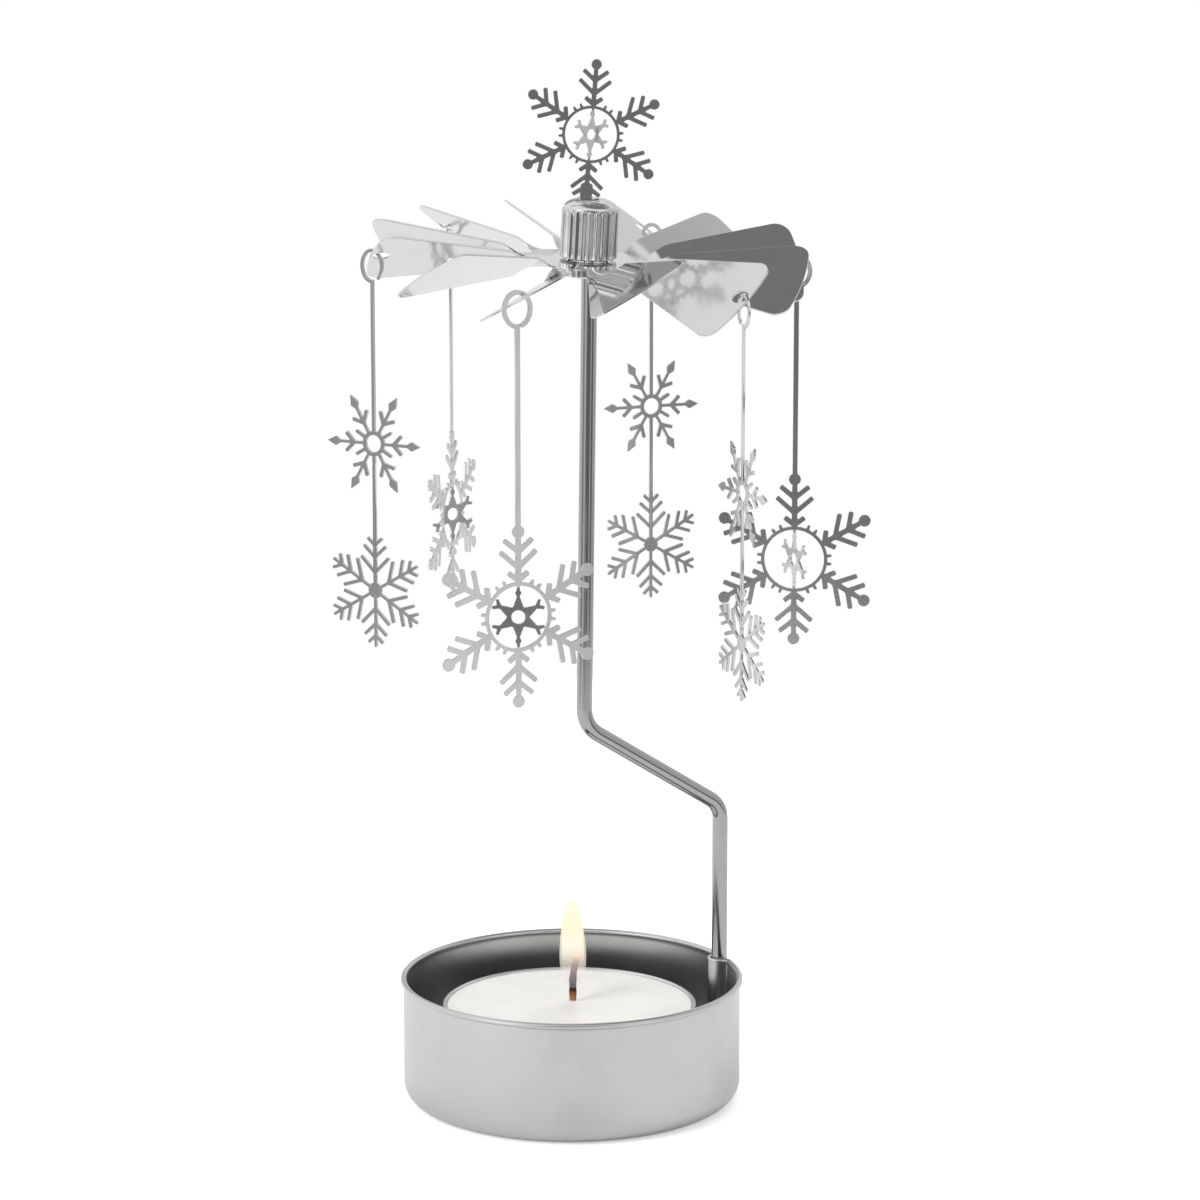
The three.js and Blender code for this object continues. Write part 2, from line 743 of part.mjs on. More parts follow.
function kiteFlake() {
  const { ringOuter, ringInner, stemHalf, neck, wide, wideHalf, tip } = kite;
  const end = [[neck, stemHalf], [wide, wideHalf], [tip, 0]];
  const right = [...barb(stemHalf, kiteBarb), ...end];
  const arms = [0, 60, 120, 180, 240, 300].map((at) => ({ at, half: stemHalf, right }));
  const spike = { half: kite.spikeHalf, right: roundEnd(kite.spikeTip, kite.spikeHalf) };
  const spikes = [30, 150, 210, 330].map((at) => ({ at, ...spike }));
  return ringShape(flakeOutline(ringOuter, [...arms, ...spikes], 1), ringInner, holeFacets);
}

function fernFlake() {
  const { hub, stemHalf, tip } = fern;
  const barbs = fernBarbs.flatMap((size) => barb(stemHalf, size));
  const right = [...barbs, ...roundEnd(tip, stemHalf)];
  const arms = [30, 90, 150, 210, 270, 330].map((at) => ({ at, half: stemHalf, right }));
  return new THREE.Shape(flakeOutline(hub, arms, 1));
}

function doublePendant() {
  const { stemHalf } = doubleHook;
  const ringEdge = (kite.ringOuter + kite.ringInner) / 2;
  const hook = solid(stamping(hookShape(doubleHook, ringEdge - upperDrop)));
  const link = solid(
    stamping(
      new THREE.Shape([
        vec2(-stemHalf, -upperDrop - ringEdge),
        vec2(-stemHalf, -lowerDrop),
        vec2(stemHalf, -lowerDrop),
        vec2(stemHalf, -upperDrop - ringEdge),
      ]),
    ),
  );
  const upperFlake = solid(stamping(kiteFlake())).translate([0, 0, -upperDrop]);
  const lowerFlake = solid(stamping(fernFlake())).translate([0, 0, -lowerDrop]);
  return hook.add(upperFlake).add(link).add(lowerFlake);
}

// The rotor's frame stands at the needle's tip and leans with the wheel.

const rotor = new THREE.Group();
rotor.position.copy(needleTip);
rotor.rotation.set(leanFront, leanRight, 0);
const rotorParts = new THREE.Group();
rotorParts.position.z = -needleAboveWheel;
rotor.add(rotorParts);
rotor.updateMatrixWorld(true);

// The middle of a hook that hangs on the strip of sheet between its hole and the
// wheel's edge. In the pendant's plane that strip is a slanting line, and the hook's
// inside is an ellipse that rests, with its clearance, on both ends of the line, or on
// the upper end alone where the lower one doesn't reach it.
function hangingPoint({ blade, azimuth }, hook) {
  const turn = degToRad(azimuth) - bladeAngle(blade);
  const pitch = bladePitch + bentBlade(blade).pitch;
  const [along, across] = [Math.cos(turn), Math.sin(turn) / Math.cos(pitch)];
  const stretch = along ** 2 + across ** 2;
  const holeEdge = hookHoleRadius / Math.sqrt(stretch);
  const lead = hookHoleAlong * along + hookHoleAside * across;
  const spare = wheelRadius ** 2 - hookHoleAlong ** 2 - hookHoleAside ** 2;
  const rim = (Math.sqrt(lead ** 2 + stretch * spare) - lead) / stretch;
  const outerEdge = rim + (flakeSheet / 2) * Math.abs(Math.tan(turn));
  const onSheet = (step) => {
    const point = [hookHoleAlong + step * along, hookHoleAside + step * across];
    return rotorParts.localToWorld(bladePoint(blade, ...point));
  };
  const [inner, outer] = [onSheet(holeEdge), onSheet(outerEdge)];
  const slopeAcross = (flakeSheet / 2) * Math.tan(pitch) * Math.abs(along);
  const rise = sheet / 2 / Math.cos(pitch) + slopeAcross;
  const outward = new THREE.Vector3(Math.cos(degToRad(azimuth)), Math.sin(degToRad(azimuth)), 0);
  const clear = hook.strip + hookGap;
  const inside = vec2(hook.halfX - clear, hook.halfZ - clear);
  const [near, far] = [inner, outer].map((point) =>
    vec2(point.dot(outward), point.z + rise).divide(inside),
  );
  const middle = near.clone().add(far).multiplyScalar(0.5);
  const half = far.clone().sub(middle);
  const square = vec2(half.y, -half.x).setLength(Math.sqrt(Math.max(0, 1 - half.lengthSq())));
  const [high, low] = near.y > far.y ? [near, far] : [far, near];
  const below = high.clone().add(vec2(0, -1));
  const centre = below.distanceTo(low) > 1 ? middle.clone().add(square) : below;
  const shift = (centre.x - middle.x) * inside.x;
  const place = inner.clone().add(outer).multiplyScalar(0.5).addScaledVector(outward, shift);
  return place.setZ(centre.y * inside.y);
}

// Tealight: an aluminium shell with its wax, and a wick held by a disc with a collar.

const lightZ = cupWall + seatGap;
const waxLow = lightZ + shellWall + seatGap;
const waxHigh = lightZ + shellWall + waxHeight;
const collarRadius = wickRadius + seatGap + collarWall;

function tealightShell() {
  const beadX = shellTopRadius;
  const beadZ = lightZ + shellHeight - shellBead;
  const top = shellTopRadius;
  const bottom = shellFootRadius;
  const inner = shellCorner - shellWall;
  return turned(
    [
      vec2(0, lightZ),
      ...arc(bottom - shellCorner, lightZ + shellCorner, shellCorner, -90, 0, cornerSteps),
      vec2(top, beadZ - shellBead),
      ...arc(beadX, beadZ, shellBead, -45, 180, shellBeadSteps),
      vec2(top - shellWall, beadZ - shellBead),
      ...arc(bottom - shellCorner, lightZ + shellCorner, inner, 0, -90, innerCornerSteps),
      vec2(0, lightZ + shellWall),
    ],
    lightFacets,
  );
}

function tealightWax() {
  const foot = shellFootRadius - shellWall - seatGap;
  const top = shellTopRadius - shellWall - seatGap;
  const corner = shellCorner - shellWall;
  const block = turned(
    [
      vec2(0, waxLow),
      vec2(foot - corner, waxLow),
      vec2(foot, waxLow + corner),
      vec2(top - seatGap, waxHigh),
      vec2(0, waxHigh),
    ],
    lightFacets,
  );
  const discPocket = waxLow + baseDisc + seatGap;
  const collarPocket = waxLow + baseDisc + collarHeight + seatGap;
  const hollow = (radius, high, sides) => rod(radius, waxLow - passing, high, sides, wickX, wickY);
  return block
    .subtract(hollow(baseDiscRadius + seatGap, discPocket, boreFacets))
    .subtract(hollow(collarRadius + seatGap, collarPocket, holeFacets))
    .subtract(hollow(wickRadius + seatGap, waxHigh + passing, holeFacets));
}

function wickBase() {
  const high = waxLow + baseDisc + collarHeight;
  return rod(baseDiscRadius, waxLow, waxLow + baseDisc, boreFacets, wickX, wickY)
    .add(rod(collarRadius, waxLow, high, holeFacets, wickX, wickY))
    .subtract(
      rod(wickRadius + seatGap, waxLow + baseDisc, high + passing, holeFacets, wickX, wickY),
    );
}

function tealightWick() {
  const low = new THREE.Vector3(wickX, wickY, waxLow + baseDisc + seatGap);
  const bendLow = new THREE.Vector3(wickX, wickY, wickBendLow);
  const bendMiddle = new THREE.Vector3(wickX, wickY, (wickBendLow + wickTop) / 2);
  const tip = new THREE.Vector3(wickX + wickBend, wickY, wickTop);
  const path = new THREE.CurvePath();
  path.add(new THREE.LineCurve3(low, bendLow));
  path.add(new THREE.QuadraticBezierCurve3(bendLow, bendMiddle, tip));
  return tube(path, wickRadius, wireSides, wickSteps);
}

// The whole object

const holder = new THREE.Group();
holder.add(piece('candle_cup', candleCup(), satinMetal));
holder.add(piece('stand_arm', standArm(), wireMetal));

rotorParts.add(piece('blade_wheel', bladeWheel(), brightMetal));
rotorParts.add(piece('hub_cap', hubCap(), brightMetal));
rotorParts.add(piece('hub_clamp', hubClamp(), brightMetal));
rotorParts.add(piece('pivot_bearing', pivotBearing(), bearingGlass));
const topFlake = piece('top_snowflake', topSnowflake(), brightMetal);
topFlake.position.set(topFlakeShift, 0, slotFloor + seatGap);
topFlake.rotation.y = topFlakeLean;
rotorParts.add(topFlake);
holder.add(rotor);

for (const pendant of pendants) {
  const single = pendant.starTurn !== undefined;
  const body = single ? singlePendant(pendant) : doublePendant();
  const mesh = piece(pendant.name, body, brightMetal);
  mesh.position.copy(hangingPoint(pendant, single ? singleHook : doubleHook));
  mesh.rotation.z = degToRad(pendant.azimuth);
  holder.add(mesh);
}

const tealight = new THREE.Group();
tealight.position.x = lightX;
tealight.add(piece('tealight_shell', tealightShell(), tinMetal));
tealight.add(piece('tealight_wax', tealightWax(), paleWax));
tealight.add(piece('wick_base', wickBase(), tinMetal));
tealight.add(piece('tealight_wick', tealightWick(), wickCotton));
holder.add(tealight);

export default holder;
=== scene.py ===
"""Dresses the rotating candle holder: finer surfaces, finishes, studio and camera.

Sizes are in millimetres and become metres when a mesh is made. Z points up and the
origin is the middle of the cup's underside.
"""

import json
import logging
import math
from collections.abc import Callable
from dataclasses import dataclass, field
from enum import Enum

import bpy
import numpy as np
from mathutils import Matrix
from mathutils.geometry import delaunay_2d_cdt

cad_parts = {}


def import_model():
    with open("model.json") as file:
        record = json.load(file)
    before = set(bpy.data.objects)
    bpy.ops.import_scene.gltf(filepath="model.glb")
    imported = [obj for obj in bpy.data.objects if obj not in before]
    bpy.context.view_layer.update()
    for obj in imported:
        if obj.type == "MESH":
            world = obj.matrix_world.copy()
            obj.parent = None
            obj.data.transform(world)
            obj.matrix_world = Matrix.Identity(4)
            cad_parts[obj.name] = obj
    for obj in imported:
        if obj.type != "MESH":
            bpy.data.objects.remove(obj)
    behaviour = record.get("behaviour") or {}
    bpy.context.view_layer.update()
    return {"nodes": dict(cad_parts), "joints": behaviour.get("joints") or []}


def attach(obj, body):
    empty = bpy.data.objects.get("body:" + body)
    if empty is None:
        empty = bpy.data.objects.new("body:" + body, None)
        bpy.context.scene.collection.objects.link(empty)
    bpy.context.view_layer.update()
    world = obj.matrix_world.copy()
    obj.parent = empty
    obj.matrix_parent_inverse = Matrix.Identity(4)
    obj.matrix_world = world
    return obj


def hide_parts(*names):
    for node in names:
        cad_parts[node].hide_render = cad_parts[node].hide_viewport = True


Array = np.ndarray
Bend = Callable[[Array], Array]
Colour = tuple[float, float, float]
Place = tuple[float, float, float]
Pair = tuple[float, float]
Tree = bpy.types.NodeTree
Socket = bpy.types.NodeSocket
Stops = tuple[tuple[float, Colour], ...]

METRES = 0.001
STOCK_PLACE = "stock_place"
log = logging.getLogger("candle_holder")


class Body(Enum):
    """The CAD bodies that pieces ride on."""

    STAND = "stand"
    ROTOR = "rotor"
    TEALIGHT = "tealight"


class Slot(Enum):
    """The record's material slots."""

    CUP = "cup_metal"
    WIRE = "wire_metal"
    BRIGHT = "bright_metal"
    TIN = "tin_metal"
    WAX = "wax"
    WICK = "wick"


class PatternSource(Enum):
    """What a finish's fine lines follow."""

    OBJECT = "the object's own coordinates"
    STOCK = "where each point lay on the flat sheet or the straight wire"


# Surfaces


@dataclass
class Shell:
    """A surface under way.

    Attributes:
        points: corners, one row each.
        faces: groups of faces by corner number, one group for each count of corners.
        place: where each corner lay on the flat sheet or straight wire, if it matters.
        normals: the exact outward direction at each corner, where it is known.
    """

    points: Array
    faces: list[Array]
    place: Array | None = None
    normals: Array | None = None


def unit(vectors: Array) -> Array:
    """Each row divided by its own length."""
    return vectors / np.linalg.norm(vectors, axis=-1, keepdims=True)


def smooth_step(values: Array, low: float, high: float) -> Array:
    """0 below low, 1 above high, and 3t^2 - 2t^3 between them."""
    share = np.clip((values - low) / (high - low), 0, 1)
    return share * share * (3 - 2 * share)


def arc(x: float, z: float, radius: float, start: float, end: float, steps: int) -> Array:
    """Points on an arc, as centre plus radius times (cos, sin) of even angles.

    Args:
        x: centre across.
        z: centre up.
        radius: radius of the arc.
        start: first angle in degrees.
        end: last angle in degrees.
        steps: number of steps between them.

    Returns:
        One row of (x, z) for each point.
    """
    angle = np.radians(np.linspace(start, end, steps + 1))
    return np.stack([x + radius * np.cos(angle), z + radius * np.sin(angle)], axis=-1)


def circle(radius: float, count: int, x: float = 0, y: float = 0) -> Array:
    """A closed loop of points evenly spaced round a circle."""
    return arc(x, y, radius, 0, 360 - 360 / count, count - 1)


def grid(points: Array, place: Array | None = None) -> Shell:
    """Joins a grid of points into four-sided faces, then welds its seam and poles.

    Each face takes the point at (row, column) and its neighbours in the next row and
    column. Points that lie on each other become one.

    Args:
        points: rows by columns by 3.
        place: stock places in the same layout.

    Returns:
        The welded surface.
    """
    rows, columns = points.shape[:2]
    number = np.arange(rows * columns).reshape(rows, columns)
    around = [number[:-1, :-1], number[:-1, 1:], number[1:, 1:], number[1:, :-1]]
    quads = np.stack(around, axis=-1).reshape(-1, 4)
    flat_place = None if place is None else place.reshape(-1, 3)
    return welded(Shell(points.reshape(-1, 3), [quads], flat_place))


def welded(shell: Shell) -> Shell:
    """Makes points within a hundredth of a micrometre one, and drops pinched faces.

    Args:
        shell: the surface with doubled points.

    Returns:
        The surface with single points, its pinched quads turned into triangles.
    """
    keys = np.round(shell.points, 5)
    _, first, which = np.unique(keys, axis=0, return_index=True, return_inverse=True)
    which = which.reshape(-1)
    faces = []
    for group in shell.faces:
        numbers = which[group]
        doubled = numbers == np.roll(numbers, -1, axis=1)
        count = doubled.sum(axis=1)
        faces.append(numbers[count == 0])
        if group.shape[1] == 4:
            faces.append(numbers[count == 1][~doubled[count == 1]].reshape(-1, 3))
    place = None if shell.place is None else shell.place[first]
    return Shell(shell.points[first], [group for group in faces if len(group)], place)


def turned(profile: Array, columns: int, swell: Callable | None = None) -> Shell:
    """Carries a profile round the Z axis.

    A point at radius r and height z stands at (r cos a, r sin a, z) for each angle a.
    swell may change r for every row and angle.

    Args:
        profile: rows of radius and height, ordered so that the outside is on the right.
        columns: steps round the axis.
        swell: takes the grids of radius, height and angle, and gives the new radius.

    Returns:
        The closed surface.
    """
    angle = np.linspace(0, 2 * np.pi, columns + 1)
    radius, height, turn = np.broadcast_arrays(profile[:, :1], profile[:, 1:], angle)
    if swell is not None:
        radius = swell(radius, height, turn)
    across = [radius * np.cos(turn), radius * np.sin(turn), height]
    return grid(np.stack(across, axis=-1))


def swept(path: Array, radii: Array, sides: int, reference: Place) -> Shell:
    """Carries a circle along a path.

    At each point of the path the circle lies across the tangent. Its first axis is the
    reference direction made square to the tangent, its second their cross product.

    Args:
        path: rows of points.
        radii: the circle's radius at each of them, 0 where the surface closes.
        sides: points round the circle.
        reference: a direction that is never along the path.

    Returns:
        The closed surface, with its stock place: the same wire made straight along Z.
    """
    tangent = unit(np.gradient(path, axis=0))
    fixed = np.array(reference, float)
    first = unit(fixed - (tangent @ fixed)[:, None] * tangent)
    second = np.cross(tangent, first)
    angle = np.linspace(0, 2 * np.pi, sides + 1)[None, :, None]
    ring = np.cos(angle) * first[:, None] + np.sin(angle) * second[:, None]
    reach = radii[:, None, None]
    steps = np.linalg.norm(np.diff(path, axis=0), axis=1)
    travelled = np.concatenate([[0], np.cumsum(steps)])[:, None, None]
    straight = np.concatenate([reach * np.cos(angle), reach * np.sin(angle)], axis=-1)
    place = np.concatenate([straight, np.broadcast_to(travelled, ring[..., :1].shape)], axis=-1)
    return grid(path[:, None] + reach * ring, place)


def joined(shells: list[Shell]) -> Shell:
    """Puts closed surfaces together in one mesh, each keeping its own points."""
    starts = np.cumsum([0, *(len(shell.points) for shell in shells[:-1])])
    faces = [group + start for shell, start in zip(shells, starts) for group in shell.faces]
    whole = Shell(np.vstack([shell.points for shell in shells]), faces)
    if all(shell.place is not None for shell in shells):
        whole.place = np.vstack([shell.place for shell in shells])
    if all(shell.normals is not None for shell in shells):
        whole.normals = np.vstack([shell.normals for shell in shells])
    return whole


def moved(shell: Shell, turn: Array, offset: Array) -> Shell:
    """Turns a surface by a 3 by 3 matrix and then shifts it."""
    normals = None if shell.normals is None else shell.normals @ turn.T
    return Shell(shell.points @ turn.T + offset, shell.faces, shell.place, normals)


# Flat outlines of stampings


def rounded(loop: Array, reach: float, steps: int = 4) -> Array:
    """Rounds every corner of a closed loop.

    Each corner P becomes the curve (1-t)^2 A + 2t(1-t) P + t^2 B, where A and B lie on
    its two edges, at most reach away.

    Args:
        loop: the loop's corners.
        reach: how far along its edges a corner is rounded.
        steps: steps on each curve.

    Returns:
        The rounded loop.
    """
    before = np.roll(loop, 1, axis=0) - loop
    after = np.roll(loop, -1, axis=0) - loop
    back = np.linalg.norm(before, axis=1, keepdims=True)
    ahead = np.linalg.norm(after, axis=1, keepdims=True)
    cut = np.minimum(reach, 0.45 * np.minimum(back, ahead))
    t = np.linspace(0, 1, steps + 1)[:, None, None]
    start, end = loop + before / back * cut, loop + after / ahead * cut
    curve = (1 - t) ** 2 * start + 2 * t * (1 - t) * loop + t**2 * end
    return curve.transpose(1, 0, 2).reshape(-1, 2)


def divided(loop: Array, step: float) -> Array:
    """Adds evenly spaced points on every edge of a loop that is longer than step."""
    edge = np.roll(loop, -1, axis=0) - loop
    counts = np.maximum(1, np.ceil(np.hypot(edge[:, 0], edge[:, 1]) / step)).astype(int)
    owner = np.repeat(np.arange(len(loop)), counts)
    first = np.repeat(np.cumsum(counts) - counts, counts)
    share = (np.arange(counts.sum()) - first) / counts[owner]
    return loop[owner] + edge[owner] * share[:, None]


def spun(loop: Array, degrees: float) -> Array:
    """A flat loop turned about the origin."""
    turn = math.radians(degrees)
    return loop @ np.array([[math.cos(turn), math.sin(turn)], [-math.sin(turn), math.cos(turn)]])


def inside(points: Array, loop: Array) -> Array:
    """Whether each point lies in a closed loop.

    A level ray from the point crosses the loop's edges an odd number of times.

    Args:
        points: rows of (x, y).
        loop: the loop's corners.

    Returns:
        One truth value for each point.
    """
    x, y = points[:, :1], points[:, 1:]
    x1, y1 = loop[:, 0], loop[:, 1]
    x2, y2 = np.roll(x1, -1), np.roll(y1, -1)
    spans = (y1 > y) != (y2 > y)
    rise = np.where(y2 == y1, 1e-12, y2 - y1)
    crossing = x1 + (y - y1) * (x2 - x1) / rise
    return (spans & (x < crossing)).sum(axis=1) % 2 == 1


def inside_any(points: Array, loops: list[Array]) -> Array:
    """Whether each point lies in at least one of the loops."""
    found = np.zeros(len(points), bool)
    for loop in loops:
        found |= inside(points, loop)
    return found


@dataclass
class Stamping:
    """A piece cut from flat sheet, with lightly rounded edges.

    Attributes:
        solids: closed loops that are united.
        holes: loops cut from them.
        islands: loops united with what is left.
        island_holes: loops cut from the islands.
        lattice: further points, for sheet that is bent later.
        thickness: of the sheet.
        edge: radius of its rounded edges.
    """

    solids: list[Array]
    holes: list[Array] = field(default_factory=list)
    islands: list[Array] = field(default_factory=list)
    island_holes: list[Array] = field(default_factory=list)
    lattice: Array | None = None
    thickness: float = 0.35
    edge: float = 0.06

    def covers(self, points: Array) -> Array:
        """Whether each point lies on the sheet that is left."""
        sheet = inside_any(points, self.solids) & ~inside_any(points, self.holes)
        island = inside_any(points, self.islands) & ~inside_any(points, self.island_holes)
        return sheet | island

    def triangles(self) -> tuple[Array, Array]:
        """Fills the outline with triangles between its points.

        Returns:
            The flat points, and the triangles counter-clockwise by point number.
        """
        loops = [*self.solids, *self.holes, *self.islands, *self.island_holes]
        starts = np.cumsum([0, *(len(loop) for loop in loops[:-1])])
        edges = [
            np.stack([np.arange(len(loop)), np.roll(np.arange(len(loop)), -1)], axis=1) + start
            for loop, start in zip(loops, starts)
        ]
        points = np.vstack(loops if self.lattice is None else [*loops, self.lattice])
        found = delaunay_2d_cdt(points.tolist(), np.vstack(edges).tolist(), [], 0, 1e-5)
        flat = np.array([tuple(point) for point in found[0]])
        corners = np.array(found[2])
        kept = corners[self.covers(flat[corners].mean(axis=1))]
        a, b, c = (flat[kept[:, i]] for i in range(3))
        area = np.cross(b - a, c - a)
        kept = np.where(area[:, None] < 0, kept[:, ::-1], kept)
        used, numbers = np.unique(kept, return_inverse=True)
        return flat[used], numbers.reshape(-1, 3)

    def shell(self, bend: Bend) -> Shell:
        """Gives the outline its thickness and bends it into place.

        The upper and lower faces are the triangles, drawn in by the edge radius. Between
        them a quarter round, a straight wall and a quarter round follow the outline:
        distance -r (1 - cos a) from it and height +-(half - r + r sin a).

        Args:
            bend: takes rows of (x, y, height over the sheet's middle) to their places.

        Returns:
            The closed surface with exact normals.
        """
        flat, triangles = self.triangles()
        count = len(flat)
        starts = triangles.reshape(-1)
        ends = np.roll(triangles, -1, axis=1).reshape(-1)
        free = ~np.isin(starts * count + ends, ends * count + starts)
        starts, ends = starts[free], ends[free]
        along = unit(flat[ends] - flat[starts])
        sideways = np.stack([along[:, 1], -along[:, 0]], axis=1)
        outward = np.zeros((count, 2))
        np.add.at(outward, starts, sideways)
        np.add.at(outward, ends, sideways)
        rim = np.unique(starts)
        length = np.maximum(np.linalg.norm(outward[rim], axis=1, keepdims=True), 0.8)
        facing = outward[rim] / length
        push = facing * np.minimum(2 / length, 1.5)
        half, radius = self.thickness / 2, self.edge
        level = np.full((count, 1), half)
        drawn_in = flat.copy()
        drawn_in[rim] -= radius * push
        layers = [np.hstack([drawn_in, level]), np.hstack([drawn_in, -level])]
        upright = np.tile([0.0, 0.0, 1.0], (count, 1))
        normals = [upright, -upright]
        for degrees, side in ((45, 1), (0, 1), (0, -1), (-45, -1)):
            turn = math.radians(degrees)
            place = flat[rim] - radius * (1 - math.cos(turn)) * push
            height = side * (half - radius) + radius * math.sin(turn)
            layers.append(np.hstack([place, np.full((len(rim), 1), height)]))
            tilt = np.full((len(rim), 1), math.sin(turn))
            normals.append(np.hstack([facing * math.cos(turn), tilt]))
        number = np.zeros(count, int)
        number[rim] = np.arange(len(rim))
        wall = [2 * count + row * len(rim) + number for row in range(4)]
        rows = [np.arange(count), *wall, np.arange(count) + count]
        quads = [
            np.stack([low[starts], low[ends], high[ends], high[starts]], axis=1)
            for high, low in zip(rows, rows[1:])
        ]
        faces = [np.vstack([triangles, triangles[:, ::-1] + count]), np.vstack(quads)]
        before, direction = np.vstack(layers), np.vstack(normals)
        points = bend(before)
        lean = unit(bend(before + 1e-3 * direction) - points)
        return Shell(points, faces, before, lean)


# Shader nodes


def add_node(tree: Tree, kind: str, inputs: dict | None = None, **settings) -> bpy.types.Node:
    """Adds a node to a tree.

    Args:
        tree: the material's, world's or group's tree.
        kind: Blender's name of the node type.
        inputs: a value or an output socket for each input, by name or number.
        settings: the node's own settings.

    Returns:
        The new node.
    """
    node = tree.nodes.new(kind)
    for name, value in settings.items():
        setattr(node, name, value)
    for name, value in (inputs or {}).items():
        if isinstance(value, Socket):
            tree.links.new(value, node.inputs[name])
        else:
            node.inputs[name].default_value = value
    return node


def maths(tree: Tree, operation: str, first: object, second: object = 0.0) -> Socket:
    """The result of one Math node."""
    return add_node(tree, "ShaderNodeMath", {0: first, 1: second}, operation=operation).outputs[0]


def remapped(tree: Tree, value: object, source: Pair, target: Pair) -> Socket:
    """A value carried smoothly from one range to another."""
    inputs = {0: value, 1: source[0], 2: source[1], 3: target[0], 4: target[1]}
    node = add_node(tree, "ShaderNodeMapRange", inputs, interpolation_type="SMOOTHSTEP")
    return node.outputs[0]


def noise(tree: Tree, vector: object, scale: float, detail: float = 3.0) -> Socket:
    """The value of one Noise Texture node."""
    inputs = {"Vector": vector, "Scale": scale, "Detail": detail}
    return add_node(tree, "ShaderNodeTexNoise", inputs).outputs[0]


def mixed(tree: Tree, share: object, first: object, second: object) -> Socket:
    """Two colours mixed by a share."""
    node = add_node(tree, "ShaderNodeMix", {0: share}, data_type="RGBA")
    for number, value in ((6, first), (7, second)):
        if isinstance(value, Socket):
            tree.links.new(value, node.inputs[number])
        else:
            node.inputs[number].default_value = (*value, 1)
    return node.outputs[2]


def by_height(tree: Tree, height: Socket, stops: Stops) -> Socket:
    """Colours that follow a height.

    Args:
        tree: the material's tree.
        height: the height in metres.
        stops: rising heights in millimetres, each with its colour.

    Returns:
        The colour, mixed evenly between one stop and the next.
    """
    low, high = stops[0][0], stops[-1][0]
    share = remapped(tree, height, (low * METRES, high * METRES), (0, 1))
    share.node.interpolation_type = "LINEAR"
    node = add_node(tree, "ShaderNodeValToRGB", {0: share})
    known = node.color_ramp.elements
    for number, (level, colour) in enumerate(stops):
        position = (level - low) / (high - low)
        stop = known[number] if number < len(known) else known.new(position)
        stop.position = position
        stop.color = (*colour, 1)
    return node.outputs[0]


def fresh_material(name: str) -> tuple[bpy.types.Material, Tree, bpy.types.Node]:
    """A new material with only a Principled BSDF and its output."""
    material = bpy.data.materials.new(name)
    material.use_nodes = True
    tree = material.node_tree
    tree.nodes.clear()
    surface = add_node(tree, "ShaderNodeBsdfPrincipled")
    add_node(tree, "ShaderNodeOutputMaterial", {"Surface": surface.outputs[0]})
    return material, tree, surface


@dataclass(frozen=True)
class SurfaceLines:
    """The shared effect of rolled, drawn or pressed metal: fine lines and soft marks.

    The fine lines are noise on a stretched pattern, the marks are broad patches where
    the metal was touched, and both change the gloss a little.
    """

    name: str = "fine_lines_and_marks"
    dulling: float = 0.04

    def group(self) -> Tree:
        """Builds the node group once and gives the same one after that.

        Returns:
            A group with Pattern, Stretch, Gloss, Spread and Colour as inputs, and
            Roughness, Height and Tint as outputs.
        """
        known = bpy.data.node_groups.get(self.name)
        if known is not None:
            return known
        tree = bpy.data.node_groups.new(self.name, "ShaderNodeTree")
        sockets = (
            ("Pattern", "INPUT", "NodeSocketVector"),
            ("Stretch", "INPUT", "NodeSocketVector"),
            ("Gloss", "INPUT", "NodeSocketFloat"),
            ("Spread", "INPUT", "NodeSocketFloat"),
            ("Colour", "INPUT", "NodeSocketColor"),
            ("Roughness", "OUTPUT", "NodeSocketFloat"),
            ("Height", "OUTPUT", "NodeSocketFloat"),
            ("Tint", "OUTPUT", "NodeSocketColor"),
        )
        for name, side, kind in sockets:
            tree.interface.new_socket(name=name, in_out=side, socket_type=kind)
        given = add_node(tree, "NodeGroupInput").outputs
        stretched = add_node(
            tree, "ShaderNodeMapping", {"Vector": given["Pattern"], "Scale": given["Stretch"]}
        )
        lines = noise(tree, stretched.outputs[0], 2600, 4)
        patches = remapped(tree, noise(tree, given["Pattern"], 130, 3), (0.45, 0.7), (0, 1))
        both = maths(tree, "ADD", lines, patches)
        swing = maths(tree, "MULTIPLY", maths(tree, "SUBTRACT", both, 0.6), given["Spread"])
        dull = mixed(tree, self.dulling, given["Colour"], (0.0, 0.0, 0.0))
        results = {
            "Roughness": maths(tree, "ADD", given["Gloss"], swing),
            "Height": lines,
            "Tint": mixed(tree, patches, given["Colour"], dull),
        }
        add_node(tree, "NodeGroupOutput", results)
        return tree


